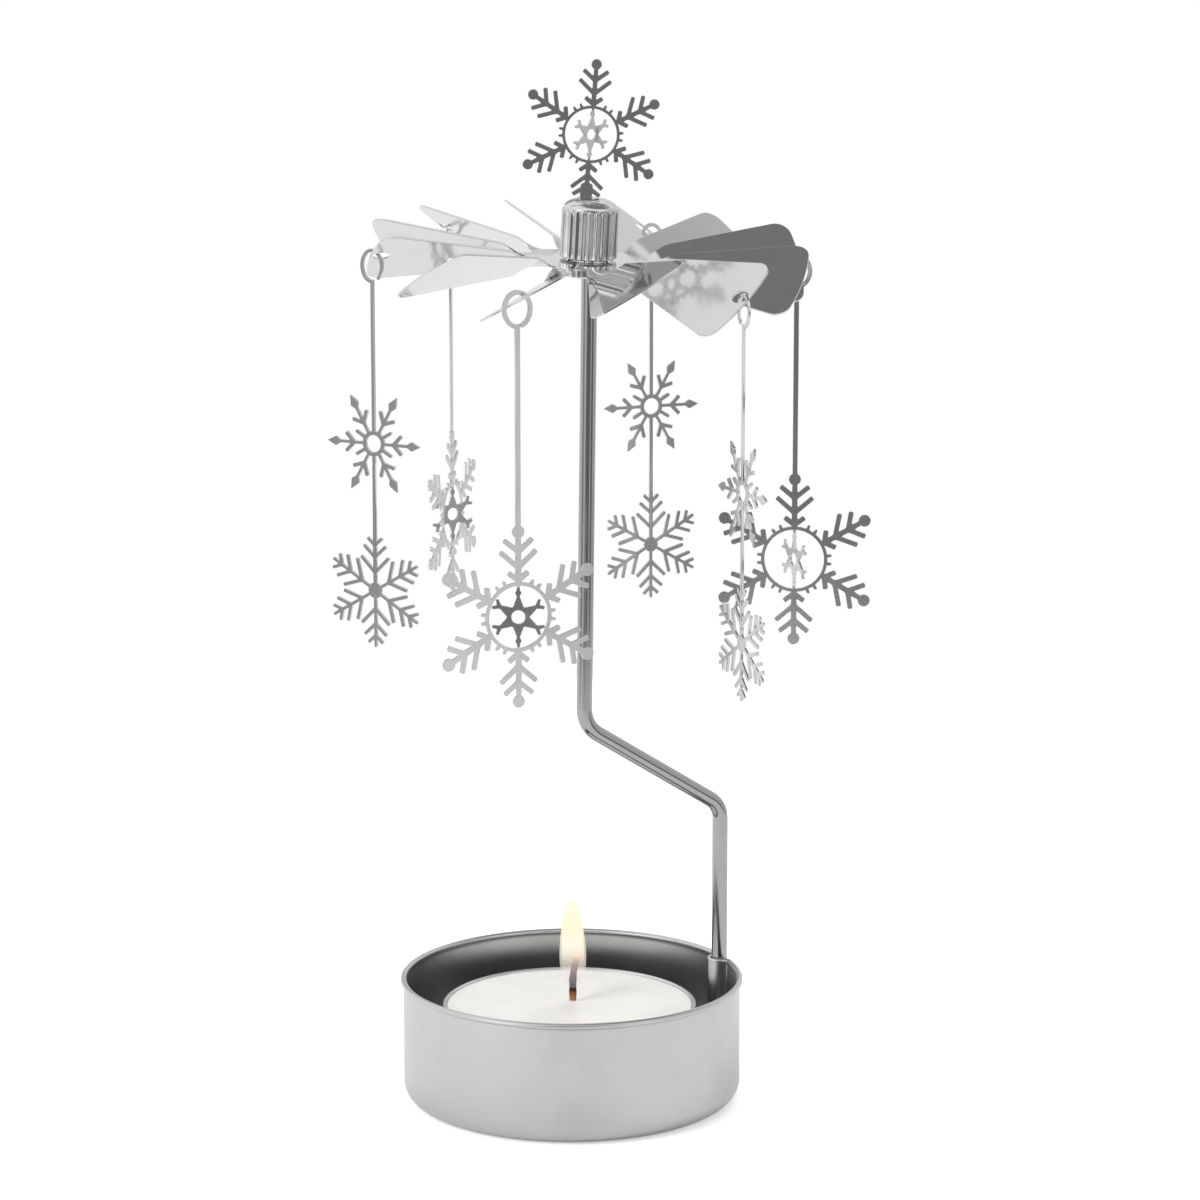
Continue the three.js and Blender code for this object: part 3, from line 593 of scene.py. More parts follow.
@dataclass(frozen=True)
class MetalFinish:
    """A bare metal.

    Attributes:
        name: the finish's name.
        colour: reflected colour.
        gloss: mean roughness.
        spread: how far lines and marks change the roughness.
        stretch: scale of the fine lines along each axis; small means long lines.
        bump: depth of the lines in metres.
        source: what the lines follow.
    """

    name: str
    colour: Colour
    gloss: float
    spread: float = 0.04
    stretch: Place = (1.0, 0.05, 1.0)
    bump: float = 2e-6
    source: PatternSource = PatternSource.STOCK

    def material(self) -> bpy.types.Material:
        """Builds the material once and gives the same one after that."""
        known = bpy.data.materials.get(self.name)
        if known is not None:
            return known
        material, tree, surface = fresh_material(self.name)
        if self.source is PatternSource.STOCK:
            stock = add_node(tree, "ShaderNodeAttribute", attribute_name=STOCK_PLACE)
            pattern = stock.outputs["Vector"]
        else:
            pattern = add_node(tree, "ShaderNodeTexCoord").outputs["Object"]
        inputs = {
            "Pattern": pattern,
            "Stretch": self.stretch,
            "Gloss": self.gloss,
            "Spread": self.spread,
            "Colour": (*self.colour, 1),
        }
        lines = add_node(tree, "ShaderNodeGroup", node_tree=SurfaceLines().group())
        for name, value in inputs.items():
            if isinstance(value, Socket):
                tree.links.new(value, lines.inputs[name])
            else:
                lines.inputs[name].default_value = value
        relief = {"Strength": 1.0, "Distance": self.bump, "Height": lines.outputs["Height"]}
        bump = add_node(tree, "ShaderNodeBump", relief)
        surface.inputs["Metallic"].default_value = 1.0
        tree.links.new(lines.outputs["Tint"], surface.inputs["Base Color"])
        tree.links.new(lines.outputs["Roughness"], surface.inputs["Roughness"])
        tree.links.new(bump.outputs[0], surface.inputs["Normal"])
        return material


BRIGHT_SHEET = MetalFinish("bright_stamped_sheet", (0.66, 0.66, 0.665), 0.07, 0.03)
FLAKE_SHEET = MetalFinish("smooth_stamped_sheet", (0.66, 0.66, 0.665), 0.15, 0.03, bump=4e-7)
BRIGHT_HUB = MetalFinish(
    "bright_pressed_hub", (0.68, 0.68, 0.685), 0.07, 0.03, (1, 1, 0.1), source=PatternSource.OBJECT
)
SATIN_CUP = MetalFinish(
    "satin_pressed_cup", (0.6, 0.6, 0.605), 0.3, 0.03, (1, 1, 0.06), 3e-6, PatternSource.OBJECT
)
DRAWN_WIRE = MetalFinish("drawn_wire", (0.42, 0.42, 0.43), 0.15, 0.05, (1, 1, 0.02), 2e-6)
TIN = MetalFinish("thin_tin", (0.7, 0.7, 0.7), 0.28, 0.08, (1, 1, 0.2), 4e-6, PatternSource.OBJECT)


@dataclass(frozen=True)
class WaxFinish:
    """Pale paraffin: a soft skin over light that travels a little way inside, and a faint painted glow
    that stands in for the flame's light in the wax.
    """

    name: str = "pale_paraffin"
    colour: Colour = (0.8, 0.79, 0.755)
    roughness: float = 0.42
    glow: Colour = (1.0, 0.96, 0.88)
    painted_glow_level: float = 0.04

    def material(self) -> bpy.types.Material:
        """Builds the material.

        Returns:
            Wax with faint cloudy patches, a fine uneven skin and a faint painted glow.
        """
        material, tree, surface = fresh_material(self.name)
        place = add_node(tree, "ShaderNodeTexCoord").outputs["Object"]
        clouds = noise(tree, place, 140, 4)
        skin = noise(tree, place, 900, 3)
        cloudy = tuple(0.95 * part for part in self.colour)
        shade = mixed(tree, remapped(tree, clouds, (0.35, 0.7), (0, 1)), self.colour, cloudy)
        tree.links.new(shade, surface.inputs["Base Color"])
        rough = remapped(tree, clouds, (0.3, 0.7), (self.roughness - 0.06, self.roughness + 0.08))
        tree.links.new(rough, surface.inputs["Roughness"])
        bump = add_node(tree, "ShaderNodeBump", {"Strength": 1.0, "Distance": 1.5e-5, "Height": skin})
        tree.links.new(bump.outputs[0], surface.inputs["Normal"])
        # painted glow: a faint emission that stands in for the flame's light inside the wax; the wax is
        # no lamp
        surface.inputs["Emission Color"].default_value = (*self.glow, 1)
        surface.inputs["Emission Strength"].default_value = self.painted_glow_level
        surface.inputs["Subsurface Weight"].default_value = 0.25
        surface.inputs["Subsurface Radius"].default_value = (1.0, 0.8, 0.6)
        surface.inputs["Subsurface Scale"].default_value = 0.002
        return material


@dataclass(frozen=True)
class WickFinish:
    """Cotton that is tan at the wax, charred black, brown above and glowing at its tip."""

    name: str = "burning_cotton"
    shades: Stops = (
        (13.4, (0.45, 0.2, 0.1)),
        (14.7, (0.3, 0.1, 0.04)),
        (15.4, (0.006, 0.004, 0.004)),
        (17.6, (0.008, 0.005, 0.004)),
        (19.2, (0.12, 0.03, 0.012)),
        (20.2, (0.3, 0.06, 0.02)),
        (20.9, (0.9, 0.25, 0.04)),
    )
    ember: Stops = (
        (13.4, (0.0, 0.0, 0.0)),
        (19.2, (0.0, 0.0, 0.0)),
        (20.2, (0.105, 0.021, 0.007)),
        (20.9, (0.9, 0.25, 0.04)),
    )

    def material(self) -> bpy.types.Material:
        """Builds the material.

        Returns:
            Cotton whose colour and glow follow the height on the wick.
        """
        material, tree, surface = fresh_material(self.name)
        place = add_node(tree, "ShaderNodeTexCoord").outputs["Object"]
        height = add_node(tree, "ShaderNodeSeparateXYZ", {0: place}).outputs[2]
        fibres = noise(tree, place, 2500, 3)
        ragged = maths(tree, "ADD", height, maths(tree, "MULTIPLY", fibres, 4e-4))
        shade, ember = (by_height(tree, ragged, stops) for stops in (self.shades, self.ember))
        tree.links.new(shade, surface.inputs["Base Color"])
        tree.links.new(ember, surface.inputs["Emission Color"])
        surface.inputs["Emission Strength"].default_value = 0.9
        surface.inputs["Roughness"].default_value = 0.85
        bump = add_node(tree, "ShaderNodeBump", {"Strength": 1.0, "Distance": 8e-5, "Height": fibres})
        tree.links.new(bump.outputs[0], surface.inputs["Normal"])
        return material


@dataclass(frozen=True)
class FlameFinish:
    """Burning gas: it only glows, and its lower part lets the wick show through.

    Attributes:
        name: the finish's name.
        shades: glowing colour from the foot to the tip, with its height in millimetres.
        cover: alpha from the foot to the tip, with its height in millimetres.
    """

    name: str
    shades: Stops
    cover: tuple[Pair, ...]

    def material(self) -> bpy.types.Material:
        """Builds the material.

        Returns:
            A glow and an alpha that follow the height.
        """
        material, tree, surface = fresh_material(self.name)
        place = add_node(tree, "ShaderNodeTexCoord").outputs["Object"]
        height = add_node(tree, "ShaderNodeSeparateXYZ", {0: place}).outputs[2]
        cover = tuple((level, (alpha,) * 3) for level, alpha in self.cover)
        tree.links.new(by_height(tree, height, self.shades), surface.inputs["Emission Color"])
        tree.links.new(by_height(tree, height, cover), surface.inputs["Alpha"])
        surface.inputs["Base Color"].default_value = (0, 0, 0, 1)
        surface.inputs["Specular IOR Level"].default_value = 0.0
        surface.inputs["Roughness"].default_value = 1.0
        surface.inputs["Emission Strength"].default_value = 1.0
        return material


FLAME_MANTLE = FlameFinish(
    "flame_mantle",
    (
        (15.2, (0.62, 0.62, 0.72)),
        (17.5, (0.9, 0.8, 0.78)),
        (20.5, (1.0, 0.93, 0.76)),
        (25.5, (1.0, 0.95, 0.6)),
        (29.1, (0.98, 0.96, 0.66)),
    ),
    ((15.2, 0.15), (17.5, 0.22), (21.5, 0.42), (25.0, 0.75), (29.1, 0.5)),
)
FLAME_CORE = FlameFinish(
    "flame_core",
    (
        (15.2, (0.8, 0.72, 0.75)),
        (19.0, (1.0, 0.92, 0.84)),
        (22.0, (1.0, 1.0, 0.95)),
        (29.1, (1.0, 1.0, 0.97)),
    ),
    ((15.2, 0.0), (19.5, 0.06), (22.6, 0.97), (29.1, 1.0)),
)


@dataclass(frozen=True)
class BearingFinish:
    """Hard glassy ceramic, a little cloudy."""

    name: str = "glassy_ceramic"
    colour: Colour = (0.82, 0.84, 0.86)

    def material(self) -> bpy.types.Material:
        """Builds the material."""
        material, tree, surface = fresh_material(self.name)
        place = add_node(tree, "ShaderNodeTexCoord").outputs["Object"]
        clouds = noise(tree, place, 800, 3)
        darker = tuple(0.85 * part for part in self.colour)
        tree.links.new(mixed(tree, clouds, self.colour, darker), surface.inputs["Base Color"])
        tree.links.new(remapped(tree, clouds, (0.3, 0.7), (0.06, 0.16)), surface.inputs["Roughness"])
        surface.inputs["Coat Weight"].default_value = 0.4
        return material


def make_piece(
    name: str,
    shell: Shell,
    material: bpy.types.Material,
    body: str,
    stands_for: list[str],
) -> bpy.types.Object:
    """Makes a finished mesh object at the origin and ties it to the frame.

    Args:
        name: the piece's name.
        shell: its surface in millimetres.
        material: its finish.
        body: the CAD body that it rides on.
        stands_for: the CAD nodes that it replaces.

    Returns:
        The object.
    """
    mesh = bpy.data.meshes.new(name)
    faces = [face for group in shell.faces for face in group.tolist()]
    mesh.from_pydata((shell.points * METRES).tolist(), [], faces)
    mesh.polygons.foreach_set("use_smooth", np.ones(len(faces), bool))
    if shell.place is not None:
        attribute = mesh.attributes.new(STOCK_PLACE, "FLOAT_VECTOR", "POINT")
        attribute.data.foreach_set("vector", (shell.place * METRES).astype(np.float32).ravel())
    if shell.normals is not None:
        mesh.normals_split_custom_set_from_vertices(shell.normals.tolist())
    mesh.materials.append(material)
    piece = bpy.data.objects.new(name, mesh)
    bpy.context.scene.collection.objects.link(piece)
    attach(piece, body)
    if stands_for:
        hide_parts(*stands_for)
    log.info("%s: %d faces on %s", name, len(faces), body)
    return piece


# Cup and arm


@dataclass
class CandleCup:
    """The pressed cup with its rolled rim and the two grooves that hold the wire."""

    middle_radius: float = 24.95
    wall: float = 0.4
    floor: float = 0.2
    corner: float = 2.3
    curl_radius: float = 0.25
    curl_out: float = 0.15
    curl_height: float = 17.95
    foot_azimuth: float = 23.0
    foot_depth: float = 0.65
    sleeve: float = 1.67
    fillet: float = 0.35
    reach: float = 3.4
    groove_low: float = 4.6
    strap: Pair = (8.0, 11.0)
    slit: float = 0.4
    columns_near: int = 61
    columns_far: int = 190

    def pressed_path(self, side: int, count: int) -> Array:
        """The wall's line in plan where it passes the wire.

        A straight stretch, a fillet, an arc round the wire, a fillet and a straight
        stretch follow each other without a kink, evenly spaced along their length.

        Args:
            side: 1 where the wall passes inside the wire, -1 where it passes outside.
            count: number of points.

        Returns:
            Rows of distance along the wall and depth inward.
        """
        rise = self.foot_depth - side * self.fillet
        span = self.sleeve + self.fillet
        start = math.sqrt(span**2 - rise**2)
        lean = math.degrees(math.atan2(side * rise, start))
        bow = arc(0, 0, self.sleeve, 90, -lean, 40)
        turn = arc(start, self.fillet, self.fillet, 180 - lean, 270, 12)
        bow = np.stack([bow[:, 0], bow[:, 1] * side + self.foot_depth], axis=1)
        turn = np.stack([turn[:, 0], turn[:, 1] * side], axis=1)
        half = np.vstack([bow, turn[1:], [[self.reach, 0]]])
        whole = np.vstack([half[::-1] * [-1, 1], half[1:]])
        steps = np.linalg.norm(np.diff(whole, axis=0), axis=1)
        travelled = np.concatenate([[0], np.cumsum(steps)])
        even = np.linspace(0, travelled[-1], count)
        return np.stack([np.interp(even, travelled, whole[:, i]) for i in (0, 1)], axis=1)

    def profile(self) -> Array:
        """The wall's middle line from the floor's centre to the end of the rolled rim.

        Returns:
            Rows of height, distance inward from the wall's line, and outward curl.
        """
        inner = self.middle_radius - self.corner
        floor = np.linspace(inner, 0.0, 14, endpoint=False)[::-1]
        floor = np.concatenate([[0.0], floor])
        flat = np.stack([np.full(len(floor), self.floor), self.middle_radius - floor], axis=1)
        bend = arc(inner, self.floor + self.corner, self.corner, -90, 0, 14)[1:]
        bend = np.stack([bend[:, 1], self.middle_radius - bend[:, 0]], axis=1)
        low, high = self.strap
        marks = [3.4, 4.2, 4.6, 5.0, 5.4, 6.2, 7.0, low - self.slit, low, 8.4, 9.5, 10.6]
        marks += [high, high + self.slit, 11.9, 13, 14.2, 15.4, 16.4, 17.1, 17.6]
        wall = np.stack([np.array(marks), np.zeros(len(marks))], axis=1)
        straight = np.vstack([flat, bend, wall])
        straight = np.hstack([straight, np.zeros((len(straight), 1))])
        curl = arc(self.curl_out, self.curl_height, self.curl_radius, 200, -130, 22)
        curl = np.stack([curl[:, 1], np.zeros(len(curl)), curl[:, 0]], axis=1)
        return np.vstack([straight, curl])

    def surface(self) -> Shell:
        """The cup's middle surface over a grid of height and place round the wall.

        Each point is the wall's plan line at its height, moved inward by the profile and
        outward along the plan line's own normal by the rim's curl. Near the wire the plan
        line is a mix of the plain circle, the inner sleeve and the outer strap. The faces
        of the two slits are left out.

        Returns:
            The open surface, to be thickened.
        """
        profile = self.profile()
        height, inward, curl = (profile[:, i, None] for i in range(3))
        near = self.columns_near
        plain = np.stack([np.linspace(-self.reach, self.reach, near), np.zeros(near)], axis=1)
        groove = self.pressed_path(1, near)
        band = self.pressed_path(-1, near)
        low, high = self.strap
        grooved = smooth_step(height, self.groove_low - 0.4, self.groove_low + 0.6)
        strapped = (height > low - self.slit / 2) & (height < high + self.slit / 2)
        inner = np.where(strapped, 0.0, grooved)[..., None]
        outer = strapped.astype(float)[..., None]
        line = plain + inner * (groove - plain) + outer * (band - plain)
        deep = inner[..., 0] * groove[:, 1] / groove[:, 1].max()
        far = np.linspace(self.reach, 2 * np.pi * self.middle_radius - self.reach, self.columns_far)
        rows = len(profile)
        rest = np.broadcast_to(np.stack([far, np.zeros(len(far))], axis=1), (rows, len(far), 2))
        line = np.concatenate([line, rest[:, 1:]], axis=1)
        deep = np.concatenate([deep, np.zeros((rows, len(far) - 1))], axis=1)
        angle = math.radians(self.foot_azimuth) + line[..., 0] / self.middle_radius
        radius = self.middle_radius - line[..., 1]
        plan = np.stack([radius * np.cos(angle), radius * np.sin(angle)], axis=-1)
        along = unit(np.gradient(plan, axis=1))
        facing = np.stack([along[..., 1], -along[..., 0]], axis=-1)
        plan = plan + facing * (curl * (1 - 0.78 * np.clip(2 * deep, 0, 1)))[..., None]
        share = 1 - inward / self.middle_radius
        plan = plan * share[..., None]
        points = np.concatenate([plan, np.broadcast_to(height, radius.shape)[..., None]], axis=-1)
        kept = np.ones((rows - 1, line.shape[1] - 1), bool)
        for level in (low - self.slit, high):
            row = int(np.argmin(np.abs(height[:, 0] - level)))
            pressed = np.abs(groove[:, 1]) > 0.02
            kept[row, : near - 1] &= ~(pressed[:-1] & pressed[1:])
        number = np.arange(points.shape[0] * points.shape[1]).reshape(points.shape[:2])
        around = [number[:-1, :-1], number[:-1, 1:], number[1:, 1:], number[1:, :-1]]
        quads = np.stack(around, axis=-1)[kept]
        return welded(Shell(points.reshape(-1, 3), [quads]))

    def build(self) -> bpy.types.Object:
        """Makes the cup and gives its sheet a thickness."""
        piece = make_piece(
            "cup_body", self.surface(), SATIN_CUP.material(), Body.STAND.value, ["candle_cup"]
        )
        wall = piece.modifiers.new("sheet_thickness", "SOLIDIFY")
        wall.thickness = self.wall * METRES
        wall.offset = 0
        wall.use_even_offset = True
        edges = piece.modifiers.new("soft_edges", "BEVEL")
        edges.width = 0.05 * METRES
        edges.segments = 2
        edges.limit_method = "ANGLE"
        edges.angle_limit = math.radians(60)
        return piece


@dataclass
class WireArm:
    """The bent wire with the needle point at its top."""

    radius: float = 1.17
    foot_from_axis: float = 24.3
    foot_azimuth: float = 23.0
    foot_z: float = 5.3
    lower_bend_z: float = 42.1
    lower_radius: float = 4.0
    upper_bend: Place = (1.9, 0.0, 56.4)
    upper_radius: float = 5.0
    tip: Place = (2.8, 0.0, 130.83)
    needle: float = 4.0
    tip_radius: float = 0.12
    foot_round: float = 0.35

    def foot_plan(self) -> Pair:
        """The foot's place in plan."""
        azimuth = math.radians(self.foot_azimuth)
        return self.foot_from_axis * math.cos(azimuth), self.foot_from_axis * math.sin(azimuth)

    def path(self) -> Array:
        """The wire's middle line.

        Straight stretches meet in curves (1-t)^2 A + 2t(1-t) P + t^2 B, where A and B lie
        radius times tan(half the turn) before and after the corner P.

        Returns:
            Rows of points from the foot to the tip.
        """
        plan = self.foot_plan()
        corners = np.array([(*plan, self.foot_z), (*plan, self.lower_bend_z), self.upper_bend, self.tip])
        directions = unit(np.diff(corners, axis=0))
        parts = [np.linspace(0, self.foot_round, 7)[:, None] * directions[0] + corners[0]]
        for number, radius in ((1, self.lower_radius), (2, self.upper_radius)):
            turn = math.acos(float(directions[number - 1] @ directions[number]))
            reach = radius * math.tan(turn / 2)
            start = corners[number] - reach * directions[number - 1]
            end = corners[number] + reach * directions[number]
            t = np.linspace(0, 1, 25)[:, None]
            curve = (1 - t) ** 2 * start + 2 * t * (1 - t) * corners[number] + t**2 * end
            last = parts[-1][-1]
            straight = last + np.linspace(0, 1, 30)[1:-1, None] * (start - last)
            parts += [straight, curve]
        last, shoulder = parts[-1][-1], corners[-1] - self.needle * directions[-1]
        parts.append(last + np.linspace(0, 1, 40)[1:, None] * (shoulder - last))
        parts.append(shoulder + np.linspace(0, 1, 12)[1:, None] * (corners[-1] - shoulder))
        return np.vstack(parts)

    def radii(self, path: Array) -> Array:
        """The wire's radius along its line.

        It grows like a quarter circle at the foot, stays even, and tapers straight to the
        small round end of the needle.

        Args:
            path: the wire's middle line.

        Returns:
            One radius for each point.
        """
        steps = np.linalg.norm(np.diff(path, axis=0), axis=1)
        travelled = np.concatenate([[0], np.cumsum(steps)])
        left = travelled[-1] - travelled
        rise = np.clip(travelled / self.foot_round, 0, 1)
        foot = self.radius - self.foot_round * (1 - np.sqrt(1 - (1 - rise) ** 2))
        taper = self.tip_radius + (self.radius - self.tip_radius) * np.clip(left / self.needle, 0, 1)
        return np.minimum(foot, taper)

    def build(self) -> bpy.types.Object:
        """Makes the wire, closed at both ends."""
        path = self.path()
        radii = self.radii(path)
        path = np.vstack([path[:1], path, path[-1:]])
        path[0, 2] -= 1e-4
        path[-1, 2] += 1e-4
        radii = np.concatenate([[0], radii, [0]])
        foot_x, foot_y = self.foot_plan()
        across = (foot_y, self.upper_bend[0] - foot_x, 0.0)
        shell = swept(path, radii, 40, across)
        return make_piece(
            "arm_wire", shell, DRAWN_WIRE.material(), Body.STAND.value, ["stand_arm"]
        )


# Rotor


@dataclass
class RotorPlace:
    """Where the leaning rotor stands: its middle at the wheel, its axis through the tip."""

    tip: Array
    lean_front: float = 3.65
    lean_right: float = 3.02
    above_wheel: float = 5.6

    def turn(self) -> Array:
        """The rotor's directions: a turn about Y followed by one about X."""
        a, b = math.radians(self.lean_front), math.radians(self.lean_right)
        about_x = np.array([[1, 0, 0], [0, math.cos(a), -math.sin(a)], [0, math.sin(a), math.cos(a)]])
        about_y = np.array([[math.cos(b), 0, math.sin(b)], [0, 1, 0], [-math.sin(b), 0, math.cos(b)]])
        return about_x @ about_y

    def set_down(self, shell: Shell) -> Shell:
        """Moves a surface from the wheel's own frame to its place."""
        turn = self.turn()
        return moved(shell, turn, self.tip - turn @ np.array([0, 0, self.above_wheel]))


@dataclass
class FanWheel:
    """The stamped wheel: one sheet slit into blades that are twisted near the hub."""

    place: RotorPlace
    count: int = 12
    first: float = 13.3
    half_angle: float = 14.3
    root: float = 8.7
    twist_end: float = 13.0
    radius: float = 31.99
    pitch: float = 32.4
    corner: float = 2.2
    bore: float = 3.3
    thickness: float = 0.3
    hole_radius: float = 1.2
    hole: Pair = (30.43, 0.8)
    holed: tuple[int, ...] = (0, 2, 4, 6, 8, 10)
    extra_pitch: dict[int, float] = field(default_factory=lambda: {0: 8.0, 10: 5.5})
    lift: dict[int, float] = field(default_factory=lambda: {8: -1.0, 9: 1.2, 10: -1.1})

    def blade_edge(self) -> Array:
        """One blade's outline from its right root to its left root, on the flat sheet.

        Straight edges run out along two radii, and arcs of the corner radius join them
        to the wheel's round edge.

        Returns:
            Rows of points, the blade pointing along X.
        """
        centre = self.radius - self.corner
        lean = math.degrees(math.asin(self.corner / centre))
        swing = math.radians(self.half_angle - lean)
        corner = arc(0, 0, self.corner, 90 + lean, 0, 12) + [centre, 0]
        turn = np.array([[math.cos(swing), math.sin(swing)], [-math.sin(swing), math.cos(swing)]])
        upper = corner @ turn
        rim = arc(0, 0, self.radius, self.half_angle - lean, lean - self.half_angle, 20)[1:-1]
        root = arc(0, 0, self.root, self.half_angle, self.half_angle, 1)[:1]
        half = np.vstack([root, upper])
        return np.vstack([half, rim, half[::-1] * [1, -1]])[::-1]

    def stamping(self) -> Stamping:
        """The flat wheel with its slits, middle bore and hook holes."""
        angles = [self.first + 360 / self.count * blade for blade in range(self.count)]
        outline = divided(np.vstack([spun(self.blade_edge(), angle) for angle in angles]), 0.7)
        holes = [circle(self.bore, 72)]
        eye = circle(self.hole_radius, 32, *self.hole)
        holes += [spun(eye, angles[blade]) for blade in self.holed]
        rings = np.linspace(self.root - 0.6, self.twist_end + 0.3, 13)
        steps = np.radians(np.arange(0, 360, 2.5) + self.first)
        ring, step = np.meshgrid(rings, steps)
        lattice = np.stack([ring * np.cos(step), ring * np.sin(step)], axis=-1).reshape(-1, 2)
        offset = np.abs((np.degrees(step) - self.first + 15) % 30 - 15).reshape(-1)
        lattice = lattice[offset < self.half_angle - 0.6]
        return Stamping([outline], holes, lattice=lattice, thickness=self.thickness, edge=0.06)

    def bent(self, flat: Array) -> Array:
        """Twists the blades.

        A point at (along, across) on its blade turns about the blade's middle line by the
        pitch, which grows from the root to the end of the twist as 3t^2 - 2t^3. A lifted
        blade also rises in proportion to the distance past the twist.

        Args:
            flat: rows of flat x, flat y and height over the sheet's middle.

        Returns:
            The places in the wheel's own frame.
        """
        step = 360 / self.count
        azimuth = np.degrees(np.arctan2(flat[:, 1], flat[:, 0])) - self.first
        blade = np.round(azimuth / step).astype(int) % self.count
        angle = np.radians(self.first + step * blade)
        along = flat[:, 0] * np.cos(angle) + flat[:, 1] * np.sin(angle)
        across = flat[:, 1] * np.cos(angle) - flat[:, 0] * np.sin(angle)
        full = np.full(self.count, self.pitch)
        rise = np.zeros(self.count)
        full[list(self.extra_pitch)] += list(self.extra_pitch.values())
        rise[list(self.lift)] = list(self.lift.values())
        distance = np.hypot(along, across)
        pitch = np.radians(full[blade]) * smooth_step(distance, self.root, self.twist_end)
        outer = np.maximum(0, (along - self.twist_end) / (self.radius - self.twist_end))
        sideways = across * np.cos(pitch) - flat[:, 2] * np.sin(pitch)
        height = across * np.sin(pitch) + flat[:, 2] * np.cos(pitch) + outer * rise[blade]
        x = along * np.cos(angle) - sideways * np.sin(angle)
        y = along * np.sin(angle) + sideways * np.cos(angle)
        return np.stack([x, y, height], axis=1)

    def build(self) -> bpy.types.Object:
        """Makes the wheel at its place."""
        shell = self.place.set_down(self.stamping().shell(self.bent))
        return make_piece(
            "wheel_blades", shell, BRIGHT_SHEET.material(), Body.ROTOR.value, ["blade_wheel"]
        )


@dataclass
class Hub:
    """The ribbed cap with its dome, and the lobed ring under the wheel."""

    place: RotorPlace
    spigot: float = 3.0
    bore: float = 2.3
    low: float = -2.0
    skirt_low: float = 0.45
    skirt_high: float = 7.6
    skirt: float = 4.15
    rib_depth: float = 0.3
    ribs: int = 24
    dome_high: float = 9.15
    dome_power: float = 2.2
    dome_sunk: float = 0.3
    dome_sheet: float = 0.4
    slot_half: float = 1.18
    slot_width: float = 0.65
    slot_shift: float = -0.85
    clamp_high: float = -0.45
    clamp_low: float = -2.2
    lug: float = 3.9
    waist: float = 0.45
    lugs: int = 6

    def rib_swell(self, radius: Array, height: Array, angle: Array) -> Array:
        """Moves the skirt in and out between its ribs.

        The radius drops by the rib depth times a cosine wave of the angle, only on the
        outer wall and less towards its ends.

        Args:
            radius: the profile's radius.
            height: the profile's height.
            angle: the angle round the axis.

        Returns:
            The ribbed radius.
        """
        wave = 0.5 - 0.5 * np.cos(self.ribs * angle)
        outer = smooth_step(radius, self.spigot + 0.4, self.skirt - self.rib_depth)
        tall = smooth_step(height, self.skirt_low - 0.1, self.skirt_low + 0.5)
        tall *= 1 - smooth_step(height, self.skirt_high - 0.45, self.skirt_high + 0.05)
        return radius - self.rib_depth * wave * outer * (0.25 + 0.75 * tall)

    def skirt_shell(self) -> Shell:
        """The ribbed skirt with the spigot below it, as one closed ring."""
        outer, inner = self.skirt, self.bore
        shoulder = self.skirt - self.rib_depth
        profile = np.vstack(
            [
                [[inner, self.low], [self.spigot - 0.2, self.low], [self.spigot, self.low + 0.2]],
                [[self.spigot, self.skirt_low], [outer - 0.25, self.skirt_low]],
                arc(outer - 0.2, self.skirt_low + 0.25, 0.2, -90, 0, 5)[1:],
                np.stack([np.full(12, outer), np.linspace(0.8, self.skirt_high - 0.4, 12)], axis=1),
                arc(outer - 0.3, self.skirt_high - 0.3, 0.3, 0, 90, 6),
                [[shoulder - 0.25, self.skirt_high + 0.02], [shoulder - 0.6, self.skirt_high - 0.1]],
                [[inner, self.skirt_high - 0.5], [inner, self.low]],
            ]
        )
        return turned(profile, 24 * self.ribs, self.rib_swell)

    def dome(self, flat: Array) -> Array:
        """Raises a flat disc into the dome.

        At a share u of the dome's radius the height is that of the dome times
        (1 - u^p)^(1/p), and the sheet's thickness lies square to that slope.

        Args:
            flat: rows of x, y and height over the sheet's middle.

        Returns:
            The places on the cap.
        """
        foot = self.skirt - self.rib_depth
        low = self.skirt_high - self.dome_sunk
        tall = self.dome_high - self.dome_sheet / 2 - low
        radius = np.maximum(np.hypot(flat[:, 0], flat[:, 1]), 1e-6)
        share = np.clip(radius / foot, 1e-6, 0.9995)
        left = 1 - share**self.dome_power
        crown = low + tall * left ** (1 / self.dome_power)
        slope = tall / foot * (share**self.dome_power / share) * left ** (1 / self.dome_power - 1)
        length = np.hypot(slope, 1)
        out = flat[:, :2] * (1 + flat[:, 2] * slope / length / radius)[:, None]
        return np.column_stack([out, crown + flat[:, 2] / length])

    def dome_shell(self) -> Shell:
        """The dome's sheet with the slot for the snowflake's tab."""
        reach, half = self.slot_half, self.slot_width / 2
        slot = np.array([[-reach, -half], [reach, -half], [reach, half], [-reach, half]])
        slot = divided(rounded(slot, 0.2) + [self.slot_shift, 0], 0.25)
        foot = self.skirt - self.rib_depth
        spread = foot * np.sin(np.linspace(0.05, 0.97, 18) * np.pi / 2)
        rings, angles = np.meshgrid(spread, np.linspace(0, 2 * np.pi, 73)[:-1])
        lattice = np.stack([rings * np.cos(angles), rings * np.sin(angles)], axis=-1).reshape(-1, 2)
        lattice = lattice[~inside(lattice, slot * [1.12, 1.5])]
        outline = circle(foot - 0.002, 96)
        stamping = Stamping([outline], [slot], lattice=lattice, thickness=self.dome_sheet, edge=0.08)
        return stamping.shell(self.dome)

    def clamp_swell(self, radius: Array, height: Array, angle: Array) -> Array:
        """Draws the ring in between its lugs, by a steep wave of the angle."""
        wave = 0.5 - 0.5 * np.tanh(1.6 * np.cos(self.lugs * angle)) / math.tanh(1.6)
        outer = smooth_step(radius, self.spigot + 0.35, self.lug)
        return radius - self.waist * wave * outer

